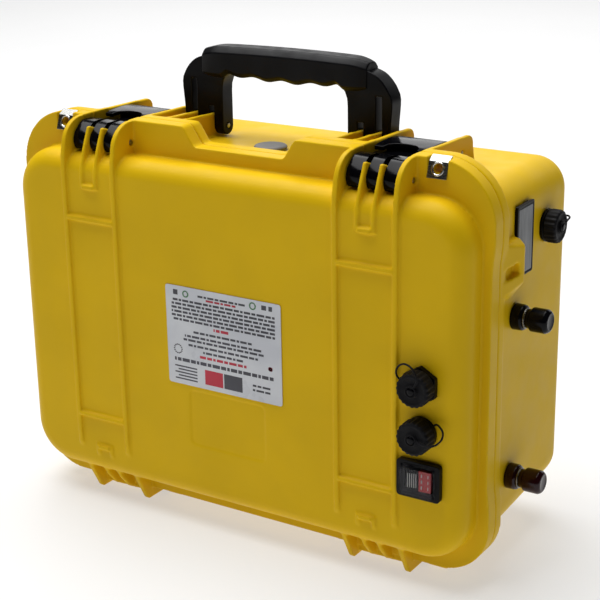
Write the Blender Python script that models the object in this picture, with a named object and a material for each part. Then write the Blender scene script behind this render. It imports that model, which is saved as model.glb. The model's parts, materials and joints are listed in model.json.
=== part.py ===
"""Portable lithium battery box in a moulded waterproof case.

The case stands on its hinge edge with the lid towards -Y, the deep base towards +Y
and the carrying handle on top. Every length below is in millimetres in the case's
own frame: X runs to the right from the middle of the case, Y runs back from the seam
between lid and base, and Z runs up from the feet. The datum empty turns that frame
into world metres, with the world origin under the middle of the whole assembly.
"""
import math

import bmesh
import bpy

MM = 0.001                 # one millimetre in metres
GAP = 0.3                  # space between two pieces that touch
BORE_PLAY = 0.35           # radial space of a pin in its bore

# Overall case.
LID_DEPTH = 36.0           # seam to the lid's front face
BASE_DEPTH = 137.0         # seam to the base's rear face
WALL = 4.0                 # moulded wall thickness of the base
LID_WALL = 3.5             # the same for the lid
RIB_RELIEF = 1.9           # how far the small ribs stand out of the lid's face
CHEEK_RELIEF = 2.5         # how far the band ridges stand out of the lid's face

# Flange round the seam.
FLANGE_HALF = 203.0        # half width at the corners
FLANGE_SIDE = 201.2        # half width along the straight sides
FLANGE_LOW = 9.0
FLANGE_HIGH = 308.5
FLANGE_DIP = 293.8         # top edge where it dips below the handle
LID_FLANGE = 12.0          # thickness on the lid
BASE_FLANGE = 10.0         # thickness on the base
LOWER_RADIUS = 38.0
UPPER_RADIUS = 44.0

# Lid dome and base body, as half width, low and high edge, corner radius.
DOME_HALF = 194.0
DOME_LOW = 23.0
DOME_HIGH = 283.0
DOME_CORNER = 34.0
DOME_EDGE = 14.0
BODY_HALF = 197.5
BODY_LOW = 26.0
BODY_HIGH = 289.0
BODY_CORNER = 23.0
CAVITY_CORNER = 36.0
BODY_EDGE = 18.0
BODY_DRAFT = 3.5           # how far each side leans in over the base's depth
BODY_DRAFT_Z = 5.0         # the same for the top and the bottom

# The two vertical bands that carry latches on top and hinges below.
BAND = 119.0               # distance of a band's middle from the case's middle
CHEEK_IN = (-25.5, -21.5)  # inner cheek, measured from the band's middle
CHEEK_OUT = (21.5, 25.5)   # outer cheek
KNIFE_RIBS = ((-8.0, -5.0), (5.0, 8.0))
CROSS_RIBS = (73.0, 234.0)
LUG_SPANS = ((-46.0, -33.0), (31.0, 47.0))  # the base's hinge lugs
LATCH_HALF = 20.2          # half width of a lever and a claw
CLAW_NECK = 15.4           # half width of the claw between the lever's ears
PIN_ROOM = 1.0             # how far a cutter runs past what it cuts

# Axes along X, as (y, z).
HINGE_AXIS = (4.0, 8.0)
CATCH_AXIS = (-15.0, 292.0)
UPPER_AXIS = (56.0, 295.5)  # handle and latch levers share this line
CLAW_AXIS = (36.0, 299.0)
PIN_RADIUS = 2.0
CLAW_PIN_RADIUS = 1.5
KNUCKLE = 8.0
LUG_RADIUS = 7.5

# Handle.
HANDLE_HALF = 92.3
HANDLE_INSIDE = 55.0
HANDLE_LUGS = ((63.9, 67.5), (79.2, 82.8))
GRIP_HALF = 72.0
GRIP_LOW = 334.6
GRIP_HIGH = 358.0
GRIP_DEPTH = 24.0
LEG_DEPTH = 14.0
LEG_TOP = 333.0

# Fittings in the lid's face, as (x, z).
UPPER_SOCKET = (162.6, 157.6)
LOWER_SOCKET = (162.9, 122.5)
SWITCH = (162.8, 88.0)
SWITCH_SIZE = (33.4, 27.6)
SWITCH_PROUD = 5.0
ROCKER_PIVOT = 5.4         # depth of the rocker's axis behind the switch's face
ROCKER_TILT = 7.5          # either way from level, in degrees
SOCKET_FLANGE = 4.2
SOCKET_BARREL = 10.0
SOCKET_HOLE = 10.8
SOCKET_BORE = 6.8          # radius of the opening that takes the plug
SOCKET_REACH = 20.0        # how far a socket's body reaches inside
CAP_RADIUS = 12.5
CAP_LENGTH = 10.5
CAP_END = 2.0
HEX_RADIUS = 13.9          # upper socket's hexagonal flange, to its corners
ROUND_FLANGE = 11.9        # the other sockets' round flange

# Fittings in the right-hand wall, as (y, z).
METER = (44.5, 244.0)
METER_SIZE = (27.0, 51.5)
SIDE_SOCKET = (88.0, 243.0)
SIDE_FLANGE = 2.0
SIDE_CAP_RADIUS = 12.1
SIDE_CAP_LENGTH = 9.0
NEGATIVE = (35.5, 190.6)
POSITIVE = (33.6, 70.3)
COLLAR_RADIUS = 9.4
COLLAR_LENGTH = 8.3
KNOB_RADIUS = 8.6
KNOB_LENGTH = 16.8
WASHER_RADIUS = 7.4
WASHER_THICK = 1.0
STUD_INSIDE = 24.0         # how far a stud reaches in behind its collar
STUD_HOLE = 5.4            # hole in the wall for a collar's neck
COLLAR_NECK = 5.0
STUD_RADIUS = 3.0
PURGE_VALVE = (0.0, 31.0)  # x and y on the base's top
PURGE_RADIUS = 12.5

EYELET = (159.8, 300.9)
EYELET_SIZE = 14.6
EYELET_HOLE = 3.4
TETHER_RADIUS = 0.7
TETHER_PROUD = 2.1         # how far a tether stands out of a cap's face
RIVET_PROUD = 2.0
NUT_RADIUS = 14.2
NUT_THICK = 5.0
STRAP_HALF = 206.0         # half width over the strap lugs
STRAP_LOW = 228.0
STRAP_HIGH = 249.5
LABEL_SIZE = (101.5, 77.4)
LABEL_CENTRE = (-0.5, 156.3)


# ---------------------------------------------------------------- outlines

def arc(centre, radius, start, end, steps):
    """Points along an arc, angles in degrees, both ends included."""
    points = []
    for step in range(steps + 1):
        angle = math.radians(start + (end - start) * step / steps)
        points.append((centre[0] + radius * math.cos(angle),
                       centre[1] + radius * math.sin(angle)))
    return points


def circle(centre, radius, sides, turn=0.0):
    """A closed ring of points."""
    return arc(centre, radius, turn, turn + 360.0 - 360.0 / sides, sides - 1)


def rectangle(left, right, low, high):
    return [(left, low), (right, low), (right, high), (left, high)]


def rounded_rectangle(left, right, low, high, radius, steps=6):
    """A rectangle with quarter-circle corners, counter-clockwise."""
    points = []
    points += arc((right - radius, low + radius), radius, -90, 0, steps)
    points += arc((right - radius, high - radius), radius, 0, 90, steps)
    points += arc((left + radius, high - radius), radius, 90, 180, steps)
    points += arc((left + radius, low + radius), radius, 180, 270, steps)
    return points


def mirrored(points):
    """Close a right-hand half outline with its mirror image across X = 0."""
    return points + [(-x, z) for x, z in reversed(points) if x > 0.0]


def flange_outline():
    """Outer edge of the flange: bulged corners and a dip below the handle."""
    half = [(0.0, FLANGE_LOW)]
    half += arc((FLANGE_HALF - LOWER_RADIUS, FLANGE_LOW + LOWER_RADIUS),
                LOWER_RADIUS, -90, 0, 7)
    half += [(FLANGE_HALF, 62.0), (FLANGE_SIDE, 76.0)]
    half += [(FLANGE_SIDE, 238.0), (FLANGE_HALF, 250.0)]
    half += arc((FLANGE_HALF - UPPER_RADIUS, FLANGE_HIGH - UPPER_RADIUS),
                UPPER_RADIUS, 0, 90, 8)
    half += [(49.0, FLANGE_HIGH), (45.0, FLANGE_HIGH - 2.5)]
    half += [(40.5, FLANGE_DIP + 2.5), (36.5, FLANGE_DIP), (0.0, FLANGE_DIP)]
    return mirrored(half)


# ---------------------------------------------------------------- solids

def lift(axis, u, v, w):
    """Place outline point (u, v) at height w along the named axis, in metres."""
    if axis == "X":
        return (w * MM, u * MM, v * MM)
    if axis == "Y":
        return (u * MM, w * MM, v * MM)
    return (u * MM, v * MM, w * MM)


def solid_from(bm):
    """Turn a bmesh into a scene object with its faces pointing out."""
    bmesh.ops.recalc_face_normals(bm, faces=bm.faces)
    mesh = bpy.data.meshes.new("solid")
    bm.to_mesh(mesh)
    bm.free()
    solid = bpy.data.objects.new("solid", mesh)
    bpy.context.scene.collection.objects.link(solid)
    return solid


def loft(axis, sections):
    """Skin a closed solid through sections of (height, outline)."""
    bm = bmesh.new()
    rings = []
    for height, outline in sections:
        rings.append([bm.verts.new(lift(axis, u, v, height)) for u, v in outline])
    for lower, upper in zip(rings, rings[1:]):
        count = len(lower)
        for index in range(count):
            following = (index + 1) % count
            bm.faces.new((lower[index], lower[following],
                          upper[following], upper[index]))
    bm.faces.new(list(reversed(rings[0])))
    bm.faces.new(rings[-1])
    return solid_from(bm)


def prism(axis, outline, low, high):
    """An outline pushed straight along an axis."""
    return loft(axis, [(low, outline), (high, outline)])


def block(x, y, z):
    """A box from three (low, high) pairs."""
    return prism("Z", rectangle(x[0], x[1], y[0], y[1]), z[0], z[1])


def rod(axis, centre, radius, low, high, sides=16):
    return prism(axis, circle(centre, radius, sides), low, high)


def turned(axis, centre, profile, sides=24):
    """A round piece from (height, radius) pairs along its axis."""
    sections = [(height, circle(centre, radius, sides)) for height, radius in profile]
    return loft(axis, sections)


def tube(points, radius, detail=2):
    """A cord along a smooth curve through hand-placed points, with flat ends."""
    curve = bpy.data.curves.new("cord", "CURVE")
    curve.dimensions = "3D"
    curve.bevel_depth = radius * MM
    curve.bevel_resolution = detail
    curve.use_fill_caps = True
    path = smooth_path(points, 6)
    spline = curve.splines.new("POLY")
    spline.points.add(len(path) - 1)
    for target, point in zip(spline.points, path):
        target.co = (point[0] * MM, point[1] * MM, point[2] * MM, 1.0)
    cord = bpy.data.objects.new("cord", curve)
    bpy.context.scene.collection.objects.link(cord)
    return cord


def smooth_path(points, per_span):
    """A Catmull-Rom curve through the given points."""
    padded = [points[0]] + list(points) + [points[-1]]
    path = []
    for index in range(1, len(padded) - 2):
        before, start, end, after = padded[index - 1:index + 3]
        for step in range(per_span):
            path.append(catmull_rom(before, start, end, after, step / per_span))
    path.append(tuple(points[-1]))
    return path


def catmull_rom(before, start, end, after, t):
    return tuple(
        0.5 * (2 * b + (c - a) * t + (2 * a - 5 * b + 4 * c - d) * t ** 2
               + (3 * b - a - 3 * c + d) * t ** 3)
        for a, b, c, d in zip(before, start, end, after))


def bake(solid):
    """Replace a solid's mesh with the result of its modifiers."""
    depsgraph = bpy.context.evaluated_depsgraph_get()
    mesh = bpy.data.meshes.new_from_object(solid.evaluated_get(depsgraph))
    solid.modifiers.clear()
    solid.data = mesh


def combine(solid, others, operation):
    for other in others:
        modifier = solid.modifiers.new("boolean", "BOOLEAN")
        modifier.operation = operation
        modifier.solver = "EXACT"
        modifier.object = other
        bake(solid)
        bpy.data.objects.remove(other)
    return solid


def joined(solid, *others):
    """One body made of several overlapping ones."""
    return combine(solid, others, "UNION")


def cut(solid, *others):
    """What is left of a solid after removing the others."""
    return combine(solid, others, "DIFFERENCE")


def tidy(mesh):
    """Weld boolean slivers and dissolve the seams left on flat faces."""
    bm = bmesh.new()
    bm.from_mesh(mesh)
    bmesh.ops.remove_doubles(bm, verts=bm.verts, dist=0.00001)
    bmesh.ops.dissolve_limit(bm, angle_limit=math.radians(0.2), verts=bm.verts,
                             edges=bm.edges)
    bmesh.ops.triangulate(bm, faces=[f for f in bm.faces if len(f.verts) > 4])
    bmesh.ops.recalc_face_normals(bm, faces=bm.faces)
    bm.to_mesh(mesh)
    bm.free()


def material(name, colour, roughness, metallic=0.0, alpha=1.0):
    """A Principled material, made once for each name."""
    existing = bpy.data.materials.get(name)
    if existing:
        return existing
    made = bpy.data.materials.new(name)
    made.use_nodes = True
    shader = made.node_tree.nodes["Principled BSDF"]
    shader.inputs["Base Color"].default_value = (*colour, 1.0)
    shader.inputs["Roughness"].default_value = roughness
    shader.inputs["Metallic"].default_value = metallic
    shader.inputs["Alpha"].default_value = alpha
    made.diffuse_color = (*colour, alpha)
    return made


def yellow_plastic():
    return material("yellow_plastic", (0.72, 0.47, 0.03), 0.42)


def black_plastic():
    return material("black_plastic", (0.012, 0.012, 0.014), 0.38)


def black_rubber():
    return material("black_rubber", (0.015, 0.015, 0.016), 0.65)


def steel():
    return material("stainless_steel", (0.62, 0.62, 0.61), 0.28, metallic=1.0)


def finish(solid, name, surface, origin=(0.0, 0.0, 0.0)):
    """Name a piece, put its origin in place and hang it on the datum."""
    if solid.type == "MESH":
        tidy(solid.data)
        shift = [-value * MM for value in origin]
        for vertex in solid.data.vertices:
            vertex.co.x += shift[0]
            vertex.co.y += shift[1]
            vertex.co.z += shift[2]
        solid.data.shade_smooth()
        solid.data.set_sharp_from_angle(angle=math.radians(32))
    solid.name = name
    solid.data.name = name
    solid.data.materials.clear()
    solid.data.materials.append(surface)
    solid.location = [value * MM for value in origin]
    solid.parent = bpy.data.objects["datum"]
    return solid


# ---------------------------------------------------------------- case shells

def body_half(y):
    """Half width of the base's side walls at depth y."""
    return BODY_HALF - BODY_DRAFT * y / BASE_DEPTH


def body_top(y):
    return BODY_HIGH - BODY_DRAFT_Z * y / BASE_DEPTH


def body_section(y, inset, corner):
    half = body_half(y) - inset
    low = BODY_LOW + BODY_DRAFT_Z * y / BASE_DEPTH + inset
    return rounded_rectangle(-half, half, low, body_top(y) - inset,
                             corner - inset)


def base_block(front, wall, corner):
    """The base's tapered body, or its inside when a wall is taken off."""
    rear = BASE_DEPTH - wall
    edge = BODY_EDGE - wall
    sections = [(front, body_section(front, wall, corner))]
    for step in range(5):
        angle = math.radians(90.0 * step / 4)
        y = rear - edge + edge * math.sin(angle)
        inward = wall + edge * (1.0 - math.cos(angle))
        sections.append((y, body_section(y, inward, corner)))
    return loft("Y", sections)


def dome_section(inset):
    return rounded_rectangle(-DOME_HALF + inset, DOME_HALF - inset,
                             DOME_LOW + inset, DOME_HIGH - inset,
                             DOME_CORNER - inset, 7)


def dome_block(back, wall):
    """The lid's dome with its rounded front edge, or its inside."""
    front = LID_DEPTH - wall
    edge = DOME_EDGE - wall
    sections = [(back, dome_section(wall))]
    for step in range(5):
        angle = math.radians(90.0 * step / 4)
        y = -(front - edge + edge * math.sin(angle))
        sections.append((y, dome_section(wall + edge * (1.0 - math.cos(angle)))))
    return loft("Y", sections)


def band_span(side, span):
    """The X range of a band feature on the left (-1) or right (+1) band."""
    ends = sorted((side * (BAND + span[0]), side * (BAND + span[1])))
    return ends[0], ends[1]


def band_spans(*spans):
    """The X ranges of the given band features on both bands."""
    return [band_span(side, span) for side in (-1, 1) for span in spans]


def lid_cheek_outline():
    """Side view of a lid cheek, from the seam over the dome down to its foot."""
    face = -(LID_DEPTH + CHEEK_RELIEF)
    outline = [(-GAP / 2, FLANGE_HIGH), (-13.0, FLANGE_HIGH)]
    outline += arc((-15.0, 287.0), 21.0, 80, 165, 5)
    outline += [(face + 0.8, 281.0), (face, 268.0), (face, 58.0), (face + 1.0, 48.0)]
    outline += [(-33.5, 37.0), (-27.0, 20.0), (-17.5, 2.0), (-15.5, 0.0)]
    outline += arc(HINGE_AXIS, KNUCKLE, -90, 118, 9)
    outline += [(-GAP / 2, HINGE_AXIS[1] + 7.6)]
    return outline


def knife_rib_outline():
    """Side view of a thin rib that stands between two latch hooks."""
    face = -(LID_DEPTH + RIB_RELIEF)
    return [(face, 258.0), (face, 266.0), (-36.0, 277.0), (-33.0, 287.0),
            (-28.5, 297.0), (-26.0, 303.0), (-24.0, 303.0), (-9.0, 297.0),
            (-9.0, 278.0), (-30.0, 262.0)]


def lower_rib_outline():
    """Side view of a thin rib on the lid's lower edge."""
    face = -(LID_DEPTH + RIB_RELIEF)
    return [(-30.0, 47.0), (face, 49.0), (face + 0.6, 42.0), (-33.5, 31.0),
            (-27.0, 19.0), (-18.0, 8.0), (-11.0, 4.0), (-9.0, 4.0), (-9.0, 30.0)]


def lid_bands():
    """Ridges, ribs and hinge cheeks that belong to the lid."""
    pieces = []
    for low, high in band_spans(CHEEK_IN, CHEEK_OUT):
        pieces.append(prism("X", lid_cheek_outline(), low, high))
    for low, high in band_spans(*KNIFE_RIBS):
        pieces.append(prism("X", knife_rib_outline(), low, high))
        pieces.append(prism("X", lower_rib_outline(), low, high))
    face = -(LID_DEPTH + RIB_RELIEF)
    for low, high in band_spans((-21.6, 21.6)):
        for height in CROSS_RIBS:
            pieces.append(block((low, high), (face, -30.0),
                                (height - 1.7, height + 1.7)))
        pieces.append(block((low, high), (-10.0, -1.0), (3.0, 12.0)))
    for low, high in band_spans((-5.1, 5.1)):
        pieces.append(block((low, high), (face, -30.0), (258.0, 261.4)))
        pieces.append(block((low, high), (face, -30.0), (45.6, 49.0)))
    return pieces


def flange_notches():
    """Room for the latch claws above the flange, between the cheeks."""
    return [block(span, (-14.0, 14.0), (289.0, 312.0))
            for span in band_spans((-21.5, 21.5))]


def pin_bores(axis_point, radius, spans, sides=12):
    return [rod("X", axis_point, radius + BORE_PLAY, low - 0.5, high + 0.5, sides)
            for low, high in spans]


def lid_cuts():
    """Everything taken out of the lid."""
    front = -(LID_DEPTH + 1.0)
    cuts = [dome_block(1.0, LID_WALL)]
    # Groove for the gasket, cut as a ring.
    ring = prism("Y", gasket_outline(-GAP), -3.0, 1.0)
    cuts.append(cut(ring, prism("Y", gasket_outline(3.6 + GAP), -4.0, 2.0)))
    # Room for the base's hinge lugs.
    for low, high in band_spans((-46.5, -32.5), (30.5, 47.5)):
        cuts.append(rod("X", HINGE_AXIS, LUG_RADIUS + 0.7, low, high, 20))
    # Sloping seat for each padlock plate, and its hole.
    for side in (-1, 1):
        x = side * EYELET[0]
        reach = EYELET_SIZE / 2 + GAP
        cuts.append(prism("X", [(-13.75, 291.0), (-8.84, 304.6), (-0.95, 309.6),
                                (-14.2, 309.6), (-14.2, 291.0)],
                          x - reach, x + reach))
        cuts.append(rod("Y", (x, EYELET[1]), EYELET_HOLE, -16.0, 1.0, 16))
    # Openings for the sockets and the switch, and the plain badge recess.
    cuts.append(rod("Y", UPPER_SOCKET, SOCKET_HOLE, front, -25.0, 20))
    cuts.append(rod("Y", LOWER_SOCKET, SOCKET_HOLE, front, -25.0, 20))
    cuts.append(block((SWITCH[0] - 14.3, SWITCH[0] + 14.3), (front, -25.0),
                      (SWITCH[1] - 11.3, SWITCH[1] + 11.3)))
    cuts.append(prism("Y", rounded_rectangle(-34.0, 34.5, 69.0, 114.4, 5.0, 3),
                      front, -(LID_DEPTH - 0.8)))
    cuts += pin_bores(HINGE_AXIS, PIN_RADIUS, band_spans(CHEEK_IN, CHEEK_OUT))
    cuts += pin_bores(CATCH_AXIS, PIN_RADIUS,
                      band_spans(CHEEK_IN, CHEEK_OUT, *KNIFE_RIBS))
    return cuts


def gasket_outline(inset):
    """Loop followed by the lid's seal, moved inwards by the inset."""
    return rounded_rectangle(-197.4 + inset, 197.4 - inset, 17.2 + inset,
                             286.2 - inset, 37.0 - inset, 6)


def make_lid_shell():
    lid = cut(prism("Y", flange_outline(), -LID_FLANGE, -GAP / 2), *flange_notches())
    lid = joined(lid, dome_block(-6.0, 0.0), *lid_bands())
    lid = cut(lid, *lid_cuts())
    return finish(lid, "lid_shell", yellow_plastic(), (0.0, *HINGE_AXIS))


def base_cheek_outline():
    """Side view of a base cheek beside a latch."""
    outline = [(GAP / 2, 284.5), (74.5, 282.5), (75.5, 287.0), (73.5, 297.0)]
    outline += arc((66.0, 299.2), 7.4, 10, 90, 3)
    outline += [(GAP / 2, FLANGE_HIGH)]
    return outline


def handle_lug_outline():
    """Side view of a rib that carries the handle's pin."""
    outline = [(8.0, 284.5), (66.0, 283.0)]
    outline += arc((58.5, 297.0), 7.8, 0, 90, 4)
    outline += [(8.0, 307.4)]
    return outline


def foot_outline():
    """Side view of a rib below the base, flat on the ground."""
    return [(24.0, 3.0), (26.5, 0.0), (117.0, 0.0), (121.0, 4.0), (125.0, 34.5),
            (11.0, 30.0), (9.0, 20.0)]


def strap_lug_outline():
    """Strap lug in plan view, standing out further towards the back."""
    return [(193.5, 4.0), (FLANGE_SIDE, 4.0), (STRAP_HALF - 0.4, 26.0),
            (STRAP_HALF, 28.0), (STRAP_HALF, 29.5), (STRAP_HALF - 1.0, 30.5),
            (193.5, 30.5)]


def base_ribs():
    """Cheeks, lugs and feet that belong to the base."""
    pieces = []
    for low, high in band_spans(CHEEK_IN, CHEEK_OUT):
        pieces.append(prism("X", base_cheek_outline(), low, high))
        pieces.append(prism("X", foot_outline(), low, high))
    for low, high in HANDLE_LUGS:
        pieces.append(prism("X", handle_lug_outline(), low, high))
        pieces.append(prism("X", handle_lug_outline(), -high, -low))
    for low, high in band_spans(*LUG_SPANS):
        outline = arc(HINGE_AXIS, LUG_RADIUS, 118, 360, 12)
        outline += [(HINGE_AXIS[0] + LUG_RADIUS, 24.0), (GAP + 0.2, 24.0)]
        pieces.append(prism("X", outline, low, high))
    for side in (-1, 1):
        lug = prism("Z", [(side * x, y) for x, y in strap_lug_outline()],
                    STRAP_LOW, STRAP_HIGH)
        edge = [(side * (STRAP_HALF - 3.5), STRAP_HIGH + 1.0),
                (side * (STRAP_HALF + 1.0), STRAP_HIGH - 3.5),
                (side * (STRAP_HALF + 1.0), STRAP_HIGH + 1.0)]
        slope = [(side * 197.0, STRAP_LOW - 1.1), (side * 210.0, STRAP_LOW + 11.4),
                 (side * 210.0, STRAP_LOW - 1.1)]
        pieces.append(cut(lug, prism("Y", edge, 0.0, 40.0),
                          prism("Y", slope, 0.0, 40.0)))
    return pieces


def base_cuts():
    """Everything taken out of the base."""
    wall_out = STRAP_HALF + 3.0
    wall_in = BODY_HALF - 12.0
    cuts = [base_block(-1.0, WALL, CAVITY_CORNER)]
    # Room for the lid's hinge cheeks and for the pin between them.
    for low, high in band_spans((-26.1, -20.9), (20.9, 26.1)):
        cuts.append(rod("X", HINGE_AXIS, KNUCKLE + 0.6, low, high, 24))
    for low, high in band_spans((-34.0, 32.0)):
        cuts.append(rod("X", HINGE_AXIS, PIN_RADIUS + 1.2, low, high, 12))
    # Padlock holes and the pockets under the strap lugs.
    for side in (-1, 1):
        cuts.append(rod("Y", (side * EYELET[0], EYELET[1]), EYELET_HOLE,
                        -1.0, 12.0, 16))
        pocket = sorted((side * 198.9, side * 203.3))
        cuts.append(block(pocket, (15.0, 27.5), (STRAP_LOW - 1.0, STRAP_LOW + 14.0)))
    # Openings in the right-hand wall.
    half_y = METER_SIZE[0] / 2 - 1.9
    half_z = METER_SIZE[1] / 2 - 1.9
    cuts.append(block((wall_in, wall_out),
                      (METER[0] - half_y, METER[0] + half_y),
                      (METER[1] - half_z, METER[1] + half_z)))
    cuts.append(rod("X", SIDE_SOCKET, SOCKET_HOLE, wall_in, wall_out, 20))
    for post in (NEGATIVE, POSITIVE):
        cuts.append(rod("X", post, STUD_HOLE, wall_in, wall_out, 16))
    cuts.append(rod("Z", PURGE_VALVE, STUD_HOLE, 278.0, 295.0, 16))
    cuts += pin_bores(HINGE_AXIS, PIN_RADIUS, band_spans(*LUG_SPANS))
    cuts += pin_bores(UPPER_AXIS, PIN_RADIUS, band_spans(CHEEK_IN, CHEEK_OUT))
    for low, high in HANDLE_LUGS:
        cuts += pin_bores(UPPER_AXIS, PIN_RADIUS, [(low, high), (-high, -low)])
    return cuts


def make_base_shell():
    base = cut(prism("Y", flange_outline(), GAP / 2, BASE_FLANGE), *flange_notches())
    base = joined(base, base_block(2.0, 0.0, BODY_CORNER), *base_ribs())
    base = cut(base, *base_cuts())
    return finish(base, "base_shell", yellow_plastic())


def make_gasket():
    seal = prism("Y", gasket_outline(0.0), -2.6, -GAP)
    seal = cut(seal, prism("Y", gasket_outline(3.6), -3.5, 1.0))
    return finish(seal, "lid_gasket", black_rubber())


def make_padlock_plates():
    """Folded stainless plates round the padlock holes in the lid's flange."""
    outline = [(-13.9, 294.7), (-12.86, 294.3), (-9.09, 304.77), (-3.91, 308.07),
               (-4.5, 309.0), (-10.0, 305.5)]
    for side, name in ((-1, "padlock_plate_left"), (1, "padlock_plate_right")):
        x = side * EYELET[0]
        plate = prism("X", outline, x - EYELET_SIZE / 2, x + EYELET_SIZE / 2)
        plate = cut(plate, rod("Y", (x, EYELET[1]), EYELET_HOLE, -16.0, -8.0, 20))
        finish(plate, name, steel())


def make_label():
    """Thin rating plate stuck to the lid's face."""
    left = LABEL_CENTRE[0] - LABEL_SIZE[0] / 2
    low = LABEL_CENTRE[1] - LABEL_SIZE[1] / 2
    outline = rounded_rectangle(left, left + LABEL_SIZE[0],
                                low, low + LABEL_SIZE[1], 2.0, 3)
    plate = prism("Y", outline, -(LID_DEPTH + GAP + 0.4), -(LID_DEPTH + GAP))
    finish(plate, "rating_label", material("label_white", (0.78, 0.79, 0.80), 0.35))


# ---------------------------------------------------------------- pins

def make_pins():
    for side, word in ((-1, "left"), (1, "right")):
        low, high = band_span(side, (-45.5, 46.5))
        finish(rod("X", HINGE_AXIS, PIN_RADIUS, low, high, 12),
               "hinge_pin_" + word, steel(), ((low + high) / 2, *HINGE_AXIS))
        low, high = band_span(side, (-25.2, 25.2))
        finish(rod("X", CATCH_AXIS, PIN_RADIUS, low, high, 12),
               "catch_pin_" + word, steel(), ((low + high) / 2, *CATCH_AXIS))
        low, high = band_span(side, (HANDLE_INSIDE - BAND - 0.4, 25.2))
        finish(rod("X", UPPER_AXIS, PIN_RADIUS, low, high, 12),
               "upper_pin_" + word, steel(), ((low + high) / 2, *UPPER_AXIS))


# ---------------------------------------------------------------- latches

def lever_outline():
    """Side view of a latch lever: pull lip, arched plate and rear knuckle."""
    outline = [(11.5, 302.6), (11.5, 305.4), (16.0, 306.4), (29.0, 307.0),
               (41.0, 306.8), (49.0, 304.6)]
    outline += arc(UPPER_AXIS, 6.0, 88, -120, 8)
    outline += [(48.6, 297.0), (44.0, 302.4), (36.0, 303.6), (16.0, 303.4)]
    return outline


def lever_arch(middle):
    """Plan view of the arched finger opening in a lever's front lip."""
    return [(middle - 13.0, 8.0)] + [
        (middle + 13.0 * math.sin(math.radians(angle)),
         11.5 + 9.8 * math.cos(math.radians(angle)))
        for angle in range(-90, 91, 15)] + [(middle + 13.0, 8.0)]


def claw_outline():
    """Side view of a hook, open below, round the catch pin."""
    y, z = CATCH_AXIS
    slot = 3.4
    outline = [(-0.5, 296.6), (0.5, 301.0), (-2.5, 303.6), (-6.0, 305.0),
               (-15.5, 305.0), (-18.8, 303.2), (-25.4, 297.4), (-27.0, 293.5),
               (-27.2, 290.0), (-26.2, 286.6), (-24.2, 284.6), (y - slot, 284.6)]
    outline += arc(CATCH_AXIS, slot, 180, 0, 6)
    outline += [(y + slot, z - 1.6), (-4.5, z - 1.6)]
    return outline


def make_latches():
    """A lever on the upper pin, and a claw on a second pin through the lever."""
    for side, word in ((-1, "left"), (1, "right")):
        middle = side * BAND
        lever = prism("X", lever_outline(), middle - LATCH_HALF, middle + LATCH_HALF)
        for low, high in ((-LATCH_HALF, -16.2), (16.2, LATCH_HALF)):
            ear = [(29.0, 295.6), (44.0, 295.6), (47.5, 300.0), (44.0, 304.0),
                   (29.0, 304.5)]
            lever = joined(lever, prism("X", ear, middle + low, middle + high))
        lever = cut(lever,
                    rod("X", UPPER_AXIS, PIN_RADIUS + BORE_PLAY,
                        middle - LATCH_HALF - PIN_ROOM,
                        middle + LATCH_HALF + PIN_ROOM, 12),
                    rod("X", CLAW_AXIS, CLAW_PIN_RADIUS + BORE_PLAY,
                        middle - LATCH_HALF - PIN_ROOM,
                        middle + LATCH_HALF + PIN_ROOM, 12),
                    prism("Z", lever_arch(middle), 301.5, 310.0))
        finish(lever, "latch_lever_" + word, black_plastic(), (middle, *UPPER_AXIS))

        claw = rod("X", CLAW_AXIS, 3.6, middle - CLAW_NECK, middle + CLAW_NECK, 16)
        claw = joined(claw, block((middle - CLAW_NECK, middle + CLAW_NECK), (24.0, 36.0),
                                  (296.6, 301.0)))
        claw = joined(claw, block((middle - LATCH_HALF, middle + LATCH_HALF), (-0.2, 26.0),
                                  (296.6, 301.0)))
        for low, high in ((-LATCH_HALF, -8.6), (-4.5, 4.5), (8.6, LATCH_HALF)):
            claw = joined(claw, prism("X", claw_outline(), middle + low,
                                      middle + high))
        claw = cut(claw, rod("X", CLAW_AXIS, CLAW_PIN_RADIUS + BORE_PLAY,
                             middle - LATCH_HALF - PIN_ROOM,
                             middle + LATCH_HALF + PIN_ROOM, 12))
        finish(claw, "latch_claw_" + word, black_plastic(), (middle, *CLAW_AXIS))

        pin = rod("X", CLAW_AXIS, CLAW_PIN_RADIUS, middle - 20.0, middle + 20.0, 12)
        finish(pin, "claw_pin_" + word, steel(), (middle, *CLAW_AXIS))


# ---------------------------------------------------------------- handle

def leg_outline():
    """Side view of a handle leg, round about its pivot."""
    y, z = UPPER_AXIS
    half = LEG_DEPTH / 2
    return (arc((y, z), half, 180, 360, 8)
            + [(y + half, LEG_TOP), (y - half, LEG_TOP)])


def shoulder_outline(side):
    """Front view of the frame's outer corner."""
    outer = [(GRIP_HALF + GAP, LEG_TOP - 8.0), (HANDLE_HALF, LEG_TOP - 8.0),
             (HANDLE_HALF, 329.0), (90.3, 336.0), (86.0, 341.5), (80.0, 345.6),
             (GRIP_HALF + GAP, 348.5)]
    return [(side * x, z) for x, z in outer]


def grip_edge(inset):
    """Front view of the soft grip with its four shallow finger waves."""
    points = [(54.5, LEG_TOP + 0.5 + inset),
              (GRIP_HALF - inset, LEG_TOP + 0.5 + inset),
              (GRIP_HALF - inset, 348.0 - inset)]
    points += arc((58.0 - inset, GRIP_HIGH - 14.0), 14.0 - inset, 20, 90, 4)
    points += [(-x, z) for x, z in reversed(points)]
    steps = 32
    for step in range(steps + 1):
        x = -51.0 + 102.0 * step / steps
        wave = 0.9 * math.cos(2.0 * math.pi * x / 26.0)
        belly = 2.6 * (x / 51.0) ** 2
        points.append((x, GRIP_LOW - 1.0 + wave + belly + inset))
    return points


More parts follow.
